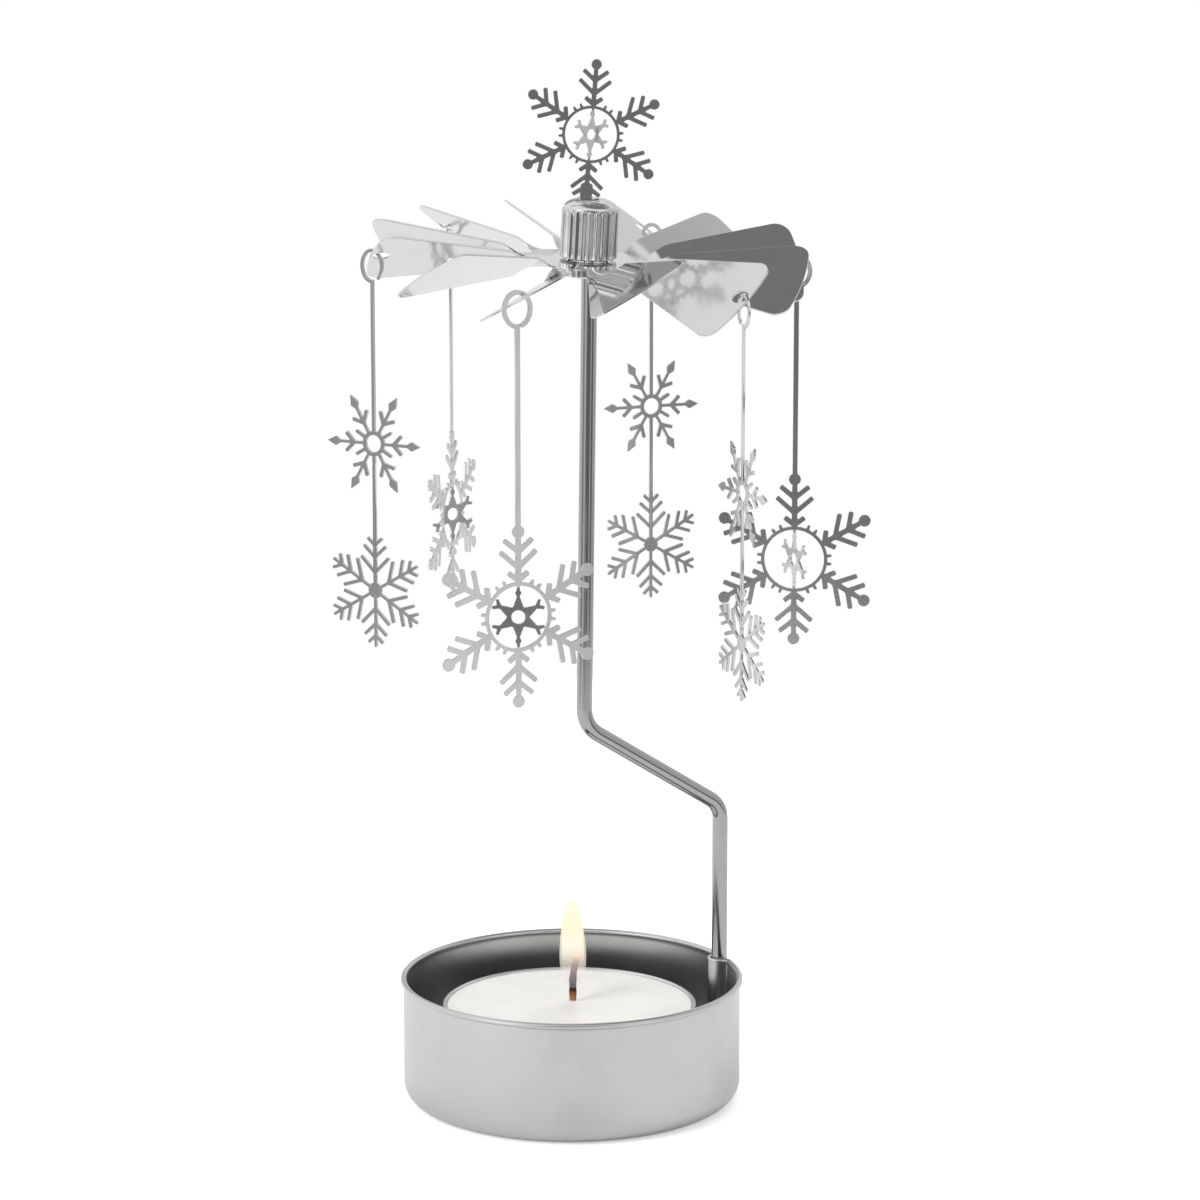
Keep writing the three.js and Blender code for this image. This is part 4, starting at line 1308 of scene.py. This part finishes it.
    def clamp_shell(self) -> Shell:
        """The lobed ring, a closed profile with rounded outer corners."""
        low, high, inner = self.clamp_low, self.clamp_high, self.spigot + 0.3
        profile = np.vstack(
            [
                [[inner, high - 0.1], [inner, low + 0.1], [inner + 0.1, low]],
                arc(self.lug - 0.25, low + 0.25, 0.25, -90, 0, 6),
                arc(self.lug - 0.25, high - 0.25, 0.25, 0, 90, 6),
                [[inner + 0.1, high], [inner, high - 0.1]],
            ]
        )
        return turned(profile, 144, self.clamp_swell)

    def build(self) -> list[bpy.types.Object]:
        """Makes the cap and the ring."""
        material = BRIGHT_HUB.material()
        rotor = Body.ROTOR.value
        cap = [self.place.set_down(self.skirt_shell()), self.place.set_down(self.dome_shell())]
        ring = self.place.set_down(self.clamp_shell())
        return [
            make_piece("cap_ribbed", joined(cap), material, rotor, ["hub_cap"]),
            make_piece("clamp_ring", ring, material, rotor, ["hub_clamp"]),
        ]


# Snowflakes


@dataclass(frozen=True)
class Barb:
    """A side branch of an arm: where it leaves the arm, its tip's place, and its width."""

    root: float
    along: float
    across: float
    width: float

    def corners(self, stem_half: float) -> Array:
        """The branch's corners on the arm's right side.

        Its two edges run half a width beside the line from root to tip and meet the
        stem's edge, and its end is square.

        Args:
            stem_half: half the width of the arm's stem.

        Returns:
            Rows of distance along the arm and distance from its middle.
        """
        length = math.hypot(self.along - self.root, self.across)
        run, rise = (self.along - self.root) / length, self.across / length
        half = self.width / 2
        reach = [(stem_half + side * run * half) / rise for side in (-1, 1)]
        low = [self.root - rise * half + run * reach[0], stem_half]
        high = [self.root + rise * half + run * reach[1], stem_half]
        near = [self.along - rise * half, self.across + run * half]
        far = [self.along + rise * half, self.across - run * half]
        return np.array([low, near, far, high])


def arm_loop(root: float, stem_half: float, right: list, degrees: float, soft: float) -> Array:
    """The closed outline of one arm, its right side mirrored to its left.

    Args:
        root: distance from the middle at which it starts.
        stem_half: half the stem's width.
        right: corners or groups of corners along its right side.
        degrees: the arm's direction.
        soft: how far along its edges each corner is rounded.

    Returns:
        The arm's loop with softened corners, turned to its direction.
    """
    side = np.vstack([[[root, stem_half]], *(np.atleast_2d(part) for part in right)])
    mirror = side[side[:, 1] > 0][::-1]
    loop = np.vstack([side * [1, -1], mirror])
    return spun(divided(rounded(loop, soft), 1.2), degrees)


class HookKind(Enum):
    """The two hooks: half width, half height, strip, half stem, gap, in millimetres."""

    SINGLE = (2.25, 2.7, 0.68, 0.38, 0.35)
    DOUBLE = (1.95, 2.5, 0.55, 0.28, 0.8)


@dataclass(frozen=True)
class Hook:
    """The C-shaped end of a pendant with the stem below it, about the hook's middle."""

    kind: HookKind

    def loop(self, stem_foot: float) -> Array:
        """The closed outline of the hook and its stem.

        The outer and inner edges are ellipses, from the stem round to the gap. The free
        end is a small half round.

        Args:
            stem_foot: height of the stem's lower end.

        Returns:
            The loop.
        """
        half_x, half_z, strip, stem, gap = self.kind.value
        inner_x, inner_z = half_x - strip, half_z - strip
        middle = half_x - strip / 2
        end = 360 - math.degrees(math.acos(-(stem + gap) / middle))
        start = -math.degrees(math.acos(stem / half_x))
        inner_start = -math.degrees(math.acos(-stem / inner_x))
        outer_bow = arc(0, 0, 1, start, end, 64) * [half_x, half_z]
        inner_bow = arc(0, 0, 1, end, inner_start, 64) * [inner_x, inner_z]
        tip = (outer_bow[-1] + inner_bow[0]) / 2
        toward = unit(outer_bow[-1] - outer_bow[-2])
        spread = np.linalg.norm(outer_bow[-1] - inner_bow[0]) / 2
        across = unit(outer_bow[-1] - inner_bow[0])
        turn = np.radians(np.linspace(90, -90, 9)[1:-1])[:, None]
        cap = tip + spread * (np.cos(turn) * toward + np.sin(turn) * across)
        bow = np.vstack([outer_bow, cap, inner_bow])
        return np.vstack([[[stem, stem_foot]], bow, [[-stem, stem_foot]]])


def round_end(tip: float, half: float) -> Array:
    """The right half of an arm's round end, whose middle lies half a width from the tip."""
    return arc(tip - half, 0, half, 90, 0, 4)


@dataclass(frozen=True)
class LargeFlake:
    """The large snowflake: toothed ring, six arms with balls, and a star inside."""

    ring_outer: float = 4.95
    ring_inner: float = 4.42
    stem_half: float = 0.42
    ball_along: float = 12.0
    ball_radius: float = 0.91
    neck_half: float = 0.36
    soft: float = 0.27
    barbs: tuple[Barb, ...] = (
        Barb(5.15, 6.3, 1.5, 0.8),
        Barb(6.95, 9.3, 2.7, 0.76),
        Barb(9.2, 10.95, 2.15, 0.78),
    )
    tooth_spread: float = 6.7
    tooth_foot: float = 4.0
    tooth_tip: float = 2.0
    tooth_radius: float = 5.6
    star_hub: float = 1.65
    star_hole: float = 0.95
    star_half: float = 0.74
    star_root: float = 1.47
    star_neck: float = 0.22
    star_soft: float = 0.14
    lozenge: Place = (2.9, 3.4, 3.9)
    lozenge_half: float = 0.48
    arrow: tuple[Pair, ...] = ((2.85, 0.28), (3.68, 0.86), (3.99, 0.56), (3.45, 0.0))

    def outline(self, scale: float, arms: tuple[int, ...]) -> list[Array]:
        """The ring, its teeth and the named arms, as loops that are united."""
        middle = (self.ring_outer + self.ring_inner) / 2
        right = [barb.corners(self.stem_half) for barb in self.barbs]
        right.append([self.ball_along, self.neck_half])
        loops = [circle(self.ring_outer, 120)]
        for degrees in arms:
            loops.append(arm_loop(middle, self.stem_half, right, degrees, self.soft))
            loops.append(spun(circle(self.ball_radius, 28, self.ball_along), degrees))
        for degrees in range(0, 360, 60):
            for side in (-1, 1):
                at = degrees + side * self.tooth_spread
                foot = arc(0, 0, middle, at - self.tooth_foot, at + self.tooth_foot, 1)
                tip = arc(0, 0, self.tooth_radius, at - self.tooth_tip, at + self.tooth_tip, 1)
                loops.append(rounded(np.vstack([foot[:1], tip, foot[1:]]), self.star_soft))
        return [loop * scale for loop in loops]

    def star(self, scale: float) -> list[Array]:
        """The inner star: a hub, four arrow arms, and a neck with a lozenge above and below.

        Args:
            scale: size of the flake.

        Returns:
            The loops that are united.
        """
        middle = (self.ring_outer + self.ring_inner) / 2
        low, wide, high = self.lozenge
        neck = [[low, self.star_neck], [wide, self.lozenge_half]]
        neck += [[high, self.star_neck], [middle, self.star_neck]]
        arms = [(self.arrow, degrees) for degrees in (30, 150, 210, 330)]
        arms += [(neck, degrees) for degrees in (90, 270)]
        loops = [circle(self.star_hub, 48)]
        for side, degrees in arms:
            loops.append(arm_loop(self.star_root, self.star_half, side, degrees, self.star_soft))
        return [divided(loop, 0.3) * scale for loop in loops]

    def stamping(
        self, scale: float, arms: tuple[int, ...], more: list[Array], lift: float
    ) -> Stamping:
        """The whole flake with further loops, such as its hook or tab.

        Args:
            scale: size of the flake.
            arms: directions of its arms in degrees.
            more: further loops, not scaled or lifted.
            lift: height of the flake's centre.

        Returns:
            The stamping.
        """
        raised = np.array([0, lift])
        return Stamping(
            [*(loop + raised for loop in self.outline(scale, arms)), *more],
            [circle(self.ring_inner * scale, 120) + raised],
            [loop + raised for loop in self.star(scale)],
            [circle(self.star_hole * scale, 32) + raised],
        )

    def star_turn(self, flat: Array, scale: float, lift: float, degrees: float) -> Array:
        """Turns the inner star about the vertical.

        Inside the ring a point turns by the full angle up to the lozenges' upper ends, and
        by less and less along the rest of the two necks.

        Args:
            flat: rows of x, height and thickness.
            scale: size of the flake.
            lift: height of its centre.
            degrees: the star's turn.

        Returns:
            The turned rows.
        """
        height = np.abs(flat[:, 1] - lift) / scale
        within = np.hypot(flat[:, 0], flat[:, 1] - lift) < (self.ring_inner - 0.03) * scale
        share = (1 - smooth_step(height, self.lozenge[-1], self.ring_inner - 0.06)) * within
        turn = np.radians(degrees) * share
        x = flat[:, 0] * np.cos(turn) + flat[:, 2] * np.sin(turn)
        above = flat[:, 2] * np.cos(turn) - flat[:, 0] * np.sin(turn)
        return np.stack([x, flat[:, 1], above], axis=1)


@dataclass(frozen=True)
class KiteFlake:
    """The upper small snowflake: kite-shaped arm ends and short spikes round a ring."""

    ring_outer: float = 1.88
    ring_inner: float = 1.22
    stem_half: float = 0.25
    soft: float = 0.2
    barb: Barb = Barb(3.35, 4.75, 1.4, 0.62)
    kite: tuple[Pair, ...] = ((5.75, 0.25), (6.45, 0.74), (8.0, 0.0))
    spike_half: float = 0.28
    spike_tip: float = 3.55

    def outline(self) -> list[Array]:
        """The loops that are united."""
        middle = (self.ring_outer + self.ring_inner) / 2
        arm = (self.stem_half, [self.barb.corners(self.stem_half), np.array(self.kite)])
        spike = (self.spike_half, [round_end(self.spike_tip, self.spike_half)])
        turns = [(*arm, degrees) for degrees in range(0, 360, 60)]
        turns += [(*spike, degrees) for degrees in (30, 150, 210, 330)]
        loops = [circle(self.ring_outer, 60)]
        return loops + [arm_loop(middle, *turn, self.soft) for turn in turns]


@dataclass(frozen=True)
class FernFlake:
    """The lower small snowflake: six feathered arms."""

    hub: float = 1.27
    root: float = 0.4
    stem_half: float = 0.26
    soft: float = 0.2
    tip: float = 8.4
    barbs: tuple[Barb, ...] = (
        Barb(2.65, 4.95, 2.4, 0.58),
        Barb(4.9, 6.6, 1.9, 0.56),
        Barb(6.6, 7.75, 1.25, 0.54),
    )

    def outline(self) -> list[Array]:
        """The loops that are united."""
        right = [barb.corners(self.stem_half) for barb in self.barbs]
        right.append(round_end(self.tip, self.stem_half))
        arm = (self.root, self.stem_half, right)
        arms = [arm_loop(*arm, degrees, self.soft) for degrees in range(30, 390, 60)]
        return [rounded(circle(self.hub, 6), 0.3), *arms]


@dataclass
class TopSnowflake:
    """The large snowflake whose tab stands in the cap's slot."""

    place: RotorPlace
    scale: float = 0.836
    shift: float = -0.85
    lean: float = 1.7
    rise: float = 11.0
    foot: float = 7.2
    tab_half: float = 0.88
    tab_swell: Pair = (8.3, 8.6)
    tab_barb: Barb = Barb(8.9, 10.5, 2.35, 0.76)
    star_degrees: float = 40.0

    def tab(self) -> list[Array]:
        """The lowest arm, which widens into the tab with a last pair of branches."""
        flake = LargeFlake()
        wide = self.tab_half / self.scale
        right = [barb.corners(flake.stem_half) for barb in flake.barbs[:2]]
        right.append([[self.tab_swell[0], flake.stem_half], [self.tab_swell[1], wide]])
        right += [self.tab_barb.corners(wide), [self.rise / self.scale, wide]]
        middle = (flake.ring_outer + flake.ring_inner) / 2
        arm = arm_loop(middle, flake.stem_half, right, 270, flake.soft)
        return [arm * self.scale + [0, self.rise]]

    def build(self) -> bpy.types.Object:
        """Makes the snowflake upright on the cap and leaning with it."""
        flake = LargeFlake()
        stamping = flake.stamping(self.scale, (30, 90, 150, 210, 330), self.tab(), self.rise)
        lean = math.radians(self.lean)

        def upright(flat: Array) -> Array:
            """Stands the sheet up, its thickness along -Y, and leans it about Y."""
            x, z, above = flake.star_turn(flat, self.scale, self.rise, self.star_degrees).T
            across = x * math.cos(lean) + z * math.sin(lean) + self.shift
            return np.stack([across, -above, z * math.cos(lean) - x * math.sin(lean) + self.foot], axis=1)

        shell = self.place.set_down(stamping.shell(upright))
        return make_piece(
            "top_flake", shell, FLAKE_SHEET.material(), Body.ROTOR.value, ["top_snowflake"]
        )


class PendantKind(Enum):
    """Which snowflakes a pendant carries."""

    SINGLE = "single"
    DOUBLE = "double"


@dataclass
class Pendant:
    """One hanging snowflake piece on its own hook.

    Attributes:
        kind: one large snowflake or two small ones.
        letter: a, b or c.
        pivot: the middle of its hook.
        outward: the direction in plan that its plane runs in.
        star_degrees: turn of a large snowflake's inner star.
    """

    kind: PendantKind
    letter: str
    pivot: Array
    outward: Array
    star_degrees: float = 0.0
    single_drop: float = 42.9
    upper_drop: float = 25.6
    lower_drop: float = 47.1

    def stamping(self) -> tuple[Stamping, float]:
        """The flat piece, and the height of a large snowflake's centre."""
        if self.kind is PendantKind.SINGLE:
            hook = Hook(HookKind.SINGLE)
            centre = -self.single_drop
            flake = LargeFlake()
            loops = [hook.loop(centre + flake.ball_along)]
            return flake.stamping(1.0, (30, 90, 150, 210, 270, 330), loops, centre), centre
        hook = Hook(HookKind.DOUBLE)
        upper, lower = -self.upper_drop, -self.lower_drop
        kite, fern, half = KiteFlake(), FernFlake(), HookKind.DOUBLE.value[3]
        edge = (kite.ring_outer + kite.ring_inner) / 2
        link = np.array([[-half, lower], [half, lower], [half, upper - edge], [-half, upper - edge]])
        loops = [hook.loop(upper + edge), link]
        loops += [loop + [0, upper] for loop in kite.outline()]
        loops += [loop + [0, lower] for loop in fern.outline()]
        return Stamping(loops, [circle(kite.ring_inner, 48) + [0, upper]]), lower

    def build(self) -> bpy.types.Object:
        """Makes the pendant at its place."""
        stamping, centre = self.stamping()
        across = np.array([self.outward[1], -self.outward[0], 0.0])
        along = np.array([self.outward[0], self.outward[1], 0.0])

        def hung(flat: Array) -> Array:
            """Stands the sheet up in its vertical plane below the pivot."""
            turned_rows = flat
            if self.kind is PendantKind.SINGLE:
                turned_rows = LargeFlake().star_turn(flat, 1.0, centre, self.star_degrees)
            x, z, above = (turned_rows[:, i, None] for i in range(3))
            return self.pivot + x * along + z * np.array([0, 0, 1.0]) + above * across

        name = f"{self.kind.value}_{self.letter}"
        return make_piece(
            f"flake_{name}",
            stamping.shell(hung),
            FLAKE_SHEET.material(),
            f"hanging_{name}",
            [f"pendant_{name}"],
        )


# Tealight


@dataclass
class Tealight:
    """The tealight: shell, wax, wick and flame."""

    x: float = -0.35
    low: float = 0.7
    wall: float = 0.3
    top_radius: float = 18.7
    foot_radius: float = 18.3
    corner: float = 1.4
    bead: float = 0.35
    height: float = 13.3
    wax_top: float = 13.5
    wick_radius: float = 0.55
    wick: Pair = (0.15, 3.0)
    wick_top: float = 21.3
    wick_bend_low: float = 16.0
    wick_bend: float = 1.0
    flutes: int = 60
    flame_low: float = 15.2
    flame_high: float = 29.1
    flame_radius: float = 2.0
    flame_bias: float = 0.705
    flame_blunt: Pair = (0.8, 0.38)
    core_share: float = 0.84
    core_low: float = 16.0
    core_drop: float = 3.0

    def fluted(self, radius: Array, height: Array, angle: Array) -> Array:
        """Adds shallow pleats to the wall: a wave of the angle, fading at both ends."""
        on_wall = smooth_step(radius, self.foot_radius - 1.2, self.foot_radius - 0.4)
        tall = smooth_step(height, 2.0, 4.0) * (1 - smooth_step(height, 11.0, 13.0))
        return radius - 0.05 * on_wall * tall * (1 - np.cos(self.flutes * angle))

    def shell(self) -> Shell:
        """The thin shell: floor, corner, slightly flared wall and small rolled edge."""
        bottom, top = self.foot_radius, self.top_radius
        bead_z = self.low + self.height - self.bead
        levels = np.linspace(0, 1, 24)[:, None]
        wall = np.array([bottom, self.low + self.corner]) * (1 - levels)
        wall = wall + np.array([top, bead_z - self.bead]) * levels
        profile = np.vstack(
            [
                [[0, self.low], [8, self.low]],
                arc(bottom - self.corner, self.low + self.corner, self.corner, -90, 0, 8),
                wall[1:],
                arc(top, bead_z, self.bead, -45, 180, 12),
                (wall - [self.wall, 0])[::-1][:-1],
                arc(bottom - self.corner, self.low + self.corner, self.corner - self.wall, 0, -90, 8),
                [[8, self.low + self.wall], [0, self.low + self.wall]],
            ]
        )
        return moved(turned(profile, 6 * self.flutes, self.fluted), np.eye(3), np.array([self.x, 0, 0]))

    def wax(self) -> Shell:
        """The wax over a grid of radius and angle.

        Its top creeps up towards the shell as exp(-gap / 0.6) and dips round the wick as
        exp(-(distance / 5)^2).

        Returns:
            The closed surface.
        """
        top, foot = self.top_radius - self.wall - 0.12, self.foot_radius - self.wall - 0.3
        low = self.low + self.wall + 0.3
        upper = np.concatenate([top - np.geomspace(0.02, 3.0, 18), np.linspace(14, 0, 22)])
        profile = np.vstack(
            [
                [[0, low], [foot - 1.1, low], [foot, low + 1.1], [top, self.wax_top + 0.05]],
                np.stack([upper, np.full(len(upper), self.wax_top)], axis=1),
            ]
        )
        shell = turned(profile, 144)
        x, y, z = shell.points.T
        radius = np.hypot(x, y)
        distance = np.hypot(x + self.x - self.wick[0], y - self.wick[1])
        on_top = z > self.wax_top - 0.2
        creep = 0.16 * np.exp(-(top - radius) / 0.6)
        dip = 0.35 * np.exp(-((distance / 5) ** 2)) - 0.45 * np.exp(-((distance / 0.9) ** 2))
        shell.points[:, 2] = z + on_top * (creep - dip)
        return moved(shell, np.eye(3), np.array([self.x, 0, 0]))

    def wick_line(self) -> tuple[Array, Array]:
        """The wick's middle line and radius.

        It stands upright and then leans over as the square of the height above the bend.
        Its radius falls off at both ends like the edge of a circle.

        Returns:
            Rows of points, and one radius for each.
        """
        z = np.linspace(2.0, self.wick_top, 70)
        lean = np.clip((z - self.wick_bend_low) / (self.wick_top - self.wick_bend_low), 0, 1)
        x = self.wick[0] + self.wick_bend * lean**2
        path = np.stack([x, np.full(len(z), self.wick[1]), z], axis=1)
        left = np.clip((self.wick_top - z) / 0.5, 0, 1)
        swell = 1 + 0.06 * np.sin(3.1 * z) - 0.12 * lean
        radii = self.wick_radius * swell * np.sqrt(np.clip(1 - (1 - left) ** 2, 0, 1))
        radii[0] = 0
        return path, radii

    def flame(self, share: float, low: float) -> Shell:
        """The flame's surface, a drop that is widest below its middle.

        For t from foot to tip the radius is R |sin(pi t^b)|^(p - q t), with b the bias and
        p, q the bluntness at the foot and its loss to the tip. The middle line moves from
        the wick towards the tip's place.

        Args:
            share: width as a share of the whole flame's.
            low: height of the foot.

        Returns:
            The closed surface.
        """
        high = self.flame_high - (1 - share) * self.core_drop
        blunt, loss = self.flame_blunt
        t = (1 - np.cos(np.linspace(0, np.pi, 60))) / 2
        z = low + (high - low) * t
        wave = np.abs(np.sin(np.pi * t**self.flame_bias))
        radii = self.flame_radius * share * wave ** (blunt - loss * t)
        radii[0] = radii[-1] = 0
        x = self.wick[0] + 0.1 - 0.25 * t
        y = np.full(len(t), self.wick[1])
        return swept(np.stack([x, y, z], axis=1), radii, 40, (1, 0, 0))

    def build(self) -> list[bpy.types.Object]:
        """Makes the tealight's pieces."""
        body = Body.TEALIGHT.value
        path, radii = self.wick_line()
        wick = swept(path, radii, 20, (0, 1, 0))
        flame = self.flame(1.0, self.flame_low)
        core = self.flame(self.core_share, self.core_low)
        return [
            make_piece("light_foil", self.shell(), TIN.material(), body, ["tealight_shell"]),
            make_piece("light_wax", self.wax(), WaxFinish().material(), body, ["tealight_wax"]),
            make_piece("light_wick", wick, WickFinish().material(), body, ["tealight_wick"]),
            make_piece("light_flame", flame, FLAME_MANTLE.material(), body, []),
            make_piece("light_flame_core", core, FLAME_CORE.material(), body, []),
        ]


# Studio


@dataclass(frozen=True)
class Card:
    """A patch of the surroundings as metal sees it: a soft-edged disc on the sky."""

    direction: Place
    inner: float
    outer: float
    level: float


@dataclass
class Studio:
    """Floor, surroundings, lamps and camera."""

    floor_radius: float = 300.0
    floor_colour: Colour = (0.82, 0.82, 0.82)
    floor_lift: float = 0.4
    mirrored_lift: float = 0.08
    plain_level: float = 0.82
    cards: tuple[Card, ...] = (
        Card((0.25, 0.10, 0.96), 25, 38, 0.24),
        Card((1.0, 0.1, 0.05), 22, 45, 0.7),
        Card((0.45, 0.87, 0.1), 20, 40, 0.8),
        Card((-0.25, 0.90, 0.36), 8, 16, 0.38),
        Card((-0.88, -0.44, -0.16), 12, 24, 0.36),
        Card((0.86, -0.48, -0.15), 12, 17, 0.2),
        Card((0.05, -1.0, -0.02), 22, 42, 0.2),
        Card((-0.75, -0.62, 0.25), 13, 24, 1.6),
    )
    camera_place: Place = (4.24, -550.0, 180.57)
    camera_pitch: float = 79.17
    lens: float = 114.446

    def world(self) -> None:
        """Builds the surroundings.

        The camera sees plain white. Metal sees white with soft-edged cards in it, each
        mixed in by the angle between its direction and the ray. Other light is a plain
        even level.
        """
        world = bpy.data.worlds.new("studio")
        bpy.context.scene.world = world
        world.use_nodes = True
        tree = world.node_tree
        tree.nodes.clear()
        ray = add_node(tree, "ShaderNodeTexCoord").outputs["Generated"]
        seen = (1.0, 1.0, 1.0)
        for card in self.cards:
            toward = tuple(unit(np.array(card.direction)).tolist())
            dot = add_node(tree, "ShaderNodeVectorMath", {0: ray, 1: toward}, operation="DOT_PRODUCT")
            edges = (math.cos(math.radians(card.outer)), math.cos(math.radians(card.inner)))
            share = remapped(tree, dot.outputs["Value"], edges, (0, 1))
            seen = mixed(tree, share, seen, (card.level,) * 3)
        path = add_node(tree, "ShaderNodeLightPath").outputs
        metal_sees = maths(tree, "MAXIMUM", path["Is Glossy Ray"], path["Is Transmission Ray"])
        plain = mixed(tree, metal_sees, (self.plain_level,) * 3, seen)
        shown = mixed(tree, path["Is Camera Ray"], plain, (1.0, 1.0, 1.0))
        background = add_node(tree, "ShaderNodeBackground", {"Color": shown, "Strength": 1.0})
        add_node(tree, "ShaderNodeOutputWorld", {"Surface": background.outputs[0]})

    def floor(self) -> bpy.types.Object:
        """A plain pale disc over a grid of radius and angle, drawn white to the camera.

        Returns:
            The floor, which keeps the object's shadow.
        """
        radius = np.linspace(0, self.floor_radius, 20)[:, None]
        angle = np.linspace(0, 2 * np.pi, 97)
        across = [radius * np.cos(angle), radius * np.sin(angle), np.full((20, 97), -0.02)]
        shell = grid(np.stack(across, axis=-1))
        mesh = bpy.data.meshes.new("floor")
        faces = [face[::-1] for group in shell.faces for face in group.tolist()]
        mesh.from_pydata((shell.points * METRES).tolist(), [], faces)
        material, tree, surface = fresh_material("pale_floor")
        place = add_node(tree, "ShaderNodeTexCoord").outputs["Object"]
        cloth = noise(tree, place, 60, 4)
        dimmer = tuple(0.985 * part for part in self.floor_colour)
        tree.links.new(mixed(tree, cloth, self.floor_colour, dimmer), surface.inputs["Base Color"])
        surface.inputs["Roughness"].default_value = 0.9
        surface.inputs["Specular IOR Level"].default_value = 0.0
        path = add_node(tree, "ShaderNodeLightPath").outputs
        reflected = maths(tree, "MAXIMUM", path["Is Glossy Ray"], path["Is Transmission Ray"])
        seen = maths(tree, "MULTIPLY", path["Is Camera Ray"], self.floor_lift)
        lift = maths(tree, "ADD", seen, maths(tree, "MULTIPLY", reflected, self.mirrored_lift))
        glow = add_node(tree, "ShaderNodeEmission", {"Color": (1, 1, 1, 1), "Strength": lift})
        both = add_node(tree, "ShaderNodeAddShader", {0: surface.outputs[0], 1: glow.outputs[0]})
        end = next(node for node in tree.nodes if node.type == "OUTPUT_MATERIAL")
        tree.links.new(both.outputs[0], end.inputs["Surface"])
        mesh.materials.append(material)
        floor = bpy.data.objects.new("floor", mesh)
        bpy.context.scene.collection.objects.link(floor)
        return floor

    def lamp(self, name: str, place: Place, aim: Place, size: float, power: float) -> None:
        """Hangs one soft square lamp, which polished metal doesn't mirror.

        Args:
            name: the lamp's name.
            place: where it hangs, in millimetres.
            aim: the point that it faces.
            size: its side in millimetres.
            power: its power in watts.
        """
        light = bpy.data.lights.new(name, "AREA")
        light.shape = "SQUARE"
        light.size = size * METRES
        light.energy = power
        holder = bpy.data.objects.new(name, light)
        holder.visible_glossy = False
        bpy.context.scene.collection.objects.link(holder)
        start, end = np.array(place), np.array(aim)
        back = unit(start - end)
        side = unit(np.cross([0.0, 0.0, 1.0], back))
        up = np.cross(back, side)
        matrix = np.eye(4)
        matrix[:3, :3] = np.stack([side, up, back], axis=1)
        matrix[:3, 3] = start * METRES
        holder.matrix_world = Matrix(matrix.tolist())

    def camera(self) -> None:
        """Places the camera at the photograph's angle, for a square frame."""
        data = bpy.data.cameras.new("photo_camera")
        data.sensor_width = 36
        data.lens = self.lens
        data.clip_start, data.clip_end = 0.01, 20
        camera = bpy.data.objects.new("photo_camera", data)
        camera.location = [part * METRES for part in self.camera_place]
        camera.rotation_euler = (math.radians(self.camera_pitch), 0, 0)
        bpy.context.scene.collection.objects.link(camera)
        bpy.context.scene.camera = camera

    def build(self) -> None:
        """Sets up floor, surroundings, lamps and camera."""
        bpy.context.scene.view_settings.view_transform = "Standard"
        self.world()
        self.floor()
        self.lamp("left_softbox", (-420, -300, 420), (0, 0, 70), 260, 1.6)
        self.lamp("back_softbox", (160, 420, 420), (0, 0, 70), 300, 0.9)
        self.camera()


def pendants(joints: list[dict]) -> list[Pendant]:
    """Reads each pendant's pivot and plane from its joint.

    Args:
        joints: the frame's joints.

    Returns:
        The six pendants.
    """
    turns = {"single_a": -58.0, "single_b": -36.0, "single_c": -23.0}
    found = []
    for joint in joints:
        name = joint["child"].removeprefix("hanging_")
        if name == joint["child"]:
            continue
        kind, letter = name.split("_")
        axis = np.array(joint["axis"], float)
        found.append(
            Pendant(
                PendantKind(kind),
                letter,
                np.array(joint["pos_m"], float) / METRES,
                np.array([-axis[1], axis[0]]),
                turns.get(name, 0.0),
            )
        )
    return found


def dress_hidden(nodes: dict[str, bpy.types.Object]) -> None:
    """Gives the two CAD nodes that stay their own finishes."""
    finishes = {"pivot_bearing": BearingFinish().material(), "wick_base": TIN.material()}
    for name, material in finishes.items():
        nodes[name].data.materials.clear()
        nodes[name].data.materials.append(material)
        log.info("%s keeps its mesh", name)


def main() -> None:
    """Builds and dresses every piece."""
    logging.basicConfig(level=logging.INFO, format="%(name)s %(message)s")
    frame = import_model()
    tip = next(joint for joint in frame["joints"] if joint["name"] == "rotor_spin")["pos_m"]
    place = RotorPlace(np.array(tip, float) / METRES)
    Studio().build()
    CandleCup().build()
    WireArm().build()
    FanWheel(place).build()
    Hub(place).build()
    TopSnowflake(place).build()
    for pendant in pendants(frame["joints"]):
        pendant.build()
    Tealight().build()
    dress_hidden(frame["nodes"])


if __name__ == "__main__":
    main()
